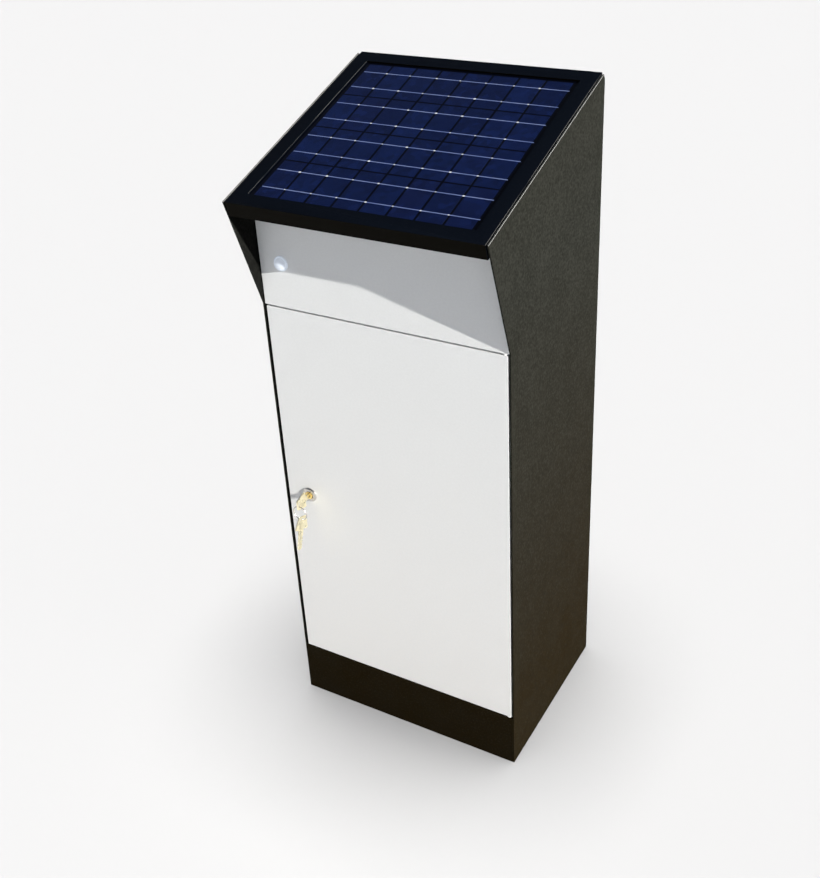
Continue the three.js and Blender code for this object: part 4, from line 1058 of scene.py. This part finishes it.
def make_breaker():
    """The breaker's case with its seams, screws and green flag, and its red lever."""
    rounded("breaker_body", "breaker_case", BREAKER_PLASTIC, 0.9)
    low, middle, high = box("breaker_body")
    front = low.y + 8
    seams = bmesh.new()
    for x in (low.x, high.x):
        add_block(seams, (x - 0.15, front + 12, low.z + 3), (x + 0.15, front + 12.6, high.z - 3))
    for z0, z1 in ((low.z + 1, middle.z - 22.5), (middle.z + 22.5, high.z - 1)):
        add_block(seams, (middle.x - 0.3, front - 0.1, z0), (middle.x + 0.3, front + 0.3, z1))
    piece("breaker_seams", seams, DEEP_SHADE)
    heads = grid((middle.x - 9, middle.x + 9), front, (middle.z - 33, middle.z + 33))
    fasteners("breaker_screws", heads, FRONT, (3.4, 0.9), STEEL)
    place = facing((middle.x, low.y, middle.z + 18), FRONT)
    flag = drawn(add_prism, rounded_outline((-5, -1.6), (5, 1.6), 0.6), 0, 0.2, place)
    piece("breaker_flag", flag, GREEN_PLASTIC, 0.08, 1)
    rounded("breaker_toggle", "breaker_lever", RED_PLASTIC, 1.2, 3)


def make_terminal_strip():
    """The rail's terminal block, with two screws to each way and grooves between the ways, drawn as thin
    dark strips of painted shade.
    """
    rounded("terminal_block", "terminal_strip", GREY_PLASTIC, 0.7)
    low, middle, high = box("terminal_block")
    pitch = 8
    columns = [low.x + pitch * (step + 0.5) for step in range(6)]
    heads = grid(columns, low.y, (middle.z - 14, middle.z + 14))
    fasteners("strip_screws", heads, FRONT, (2.4, 0.7), STEEL)
    grooves = bmesh.new()
    for step in range(1, 6):
        x = low.x + pitch * step
        add_block(grooves, (x - 0.25, low.y - 0.12, low.z + 0.4), (x + 0.25, low.y + 0.2, high.z - 0.4))
    piece("strip_grooves", grooves, DEEP_SHADE)


def make_junction_box():
    """The junction box under the laminate and its lid."""
    rounded("junction_box", "junction_case", BLACK_PLASTIC, 0.6)
    rounded("junction_box_lid", "junction_lid", BLACK_PLASTIC, 0.8)


def make_gland():
    """The cable gland: a hexagon foot, a ribbed dome nut and a rubber seal round its bore."""
    rounded("cable_gland", "entry_gland", BLACK_PLASTIC, 0.5)
    _, middle, high = box("cable_gland")
    ribs, count = bmesh.new(), 24
    for step in range(count):
        turn = Matrix.Rotation(2 * math.pi * step / count, 4, "Z")
        place = at((middle.x, middle.y, high.z)) @ turn
        add_block(ribs, (11.2, -0.6, -10), (12.1, 0.6, -1.5), place)
    piece("gland_ribs", ribs, BLACK_PLASTIC, 0.2, 1)
    outline = [(3.7, 0), (4.9, 0), (4.9, 6), (4.5, 6.6), (3.7, 6.2)]
    seal = drawn(add_ring, outline, at((middle.x, middle.y, high.z - 7)), 32)
    piece("gland_seal", seal, RUBBER)


# ---- wiring

CUT_END = math.radians(60)  # a lead's edge that turns further than this is its cut end's


def smooth_lead(node, name, material):
    """A round sheath drawn from the CAD tube, with its cut ends kept flat."""
    bm = welded(node)
    bmesh.ops.join_triangles(bm, faces=bm.faces, angle_face_threshold=0.5, angle_shape_threshold=3.0)
    crease = bm.edges.layers.float.new("crease_edge")
    for edge in bm.edges:
        edge[crease] = 1.0 if edge.calc_face_angle(0) > CUT_END else 0.0
    made = stand_in(node, name, bm, material)
    round_off = made.modifiers.new("round", "SUBSURF")
    round_off.levels = round_off.render_levels = 1


def make_wiring():
    """The six leads, the lugs on the battery's posts and the saddle that holds the leads."""
    smooth_lead("battery_lead_positive", "battery_red_lead", RED_WIRE)
    smooth_lead("battery_lead_negative", "battery_black_lead", BLACK_WIRE)
    smooth_lead("breaker_lead", "breaker_red_lead", RED_WIRE)
    smooth_lead("panel_lead_positive", "panel_red_lead", RED_WIRE)
    smooth_lead("panel_lead_negative", "panel_black_lead", BLACK_WIRE)
    smooth_lead("sensor_lead", "sensor_grey_lead", GREY_WIRE)
    lug = [(0, -0.1), (6.3, -0.1), (6.4, 0.4), (6.4, 1.8), (6.1, 2.2), (3.2, 2.3), (3.0, 4.4), (2.7, 5.0),
             (0, 5.0)]
    for end in ("positive", "negative"):
        _, middle, high = box("battery_terminal_" + end)
        bm = drawn(add_turned, lug, at((middle.x, middle.y, high.z + 0.3)), 32)
        piece(end + "_lug", bm, STEEL)
    rounded("lead_clip", "lead_saddle", BLACK_PLASTIC, 0.4)


make_housing()
make_door()
make_solar_panel()
make_sensor()
make_lock()
make_keys()
make_hinges()
make_battery()
make_controller()
make_rail()
make_breaker()
make_terminal_strip()
make_junction_box()
make_gland()
make_wiring()
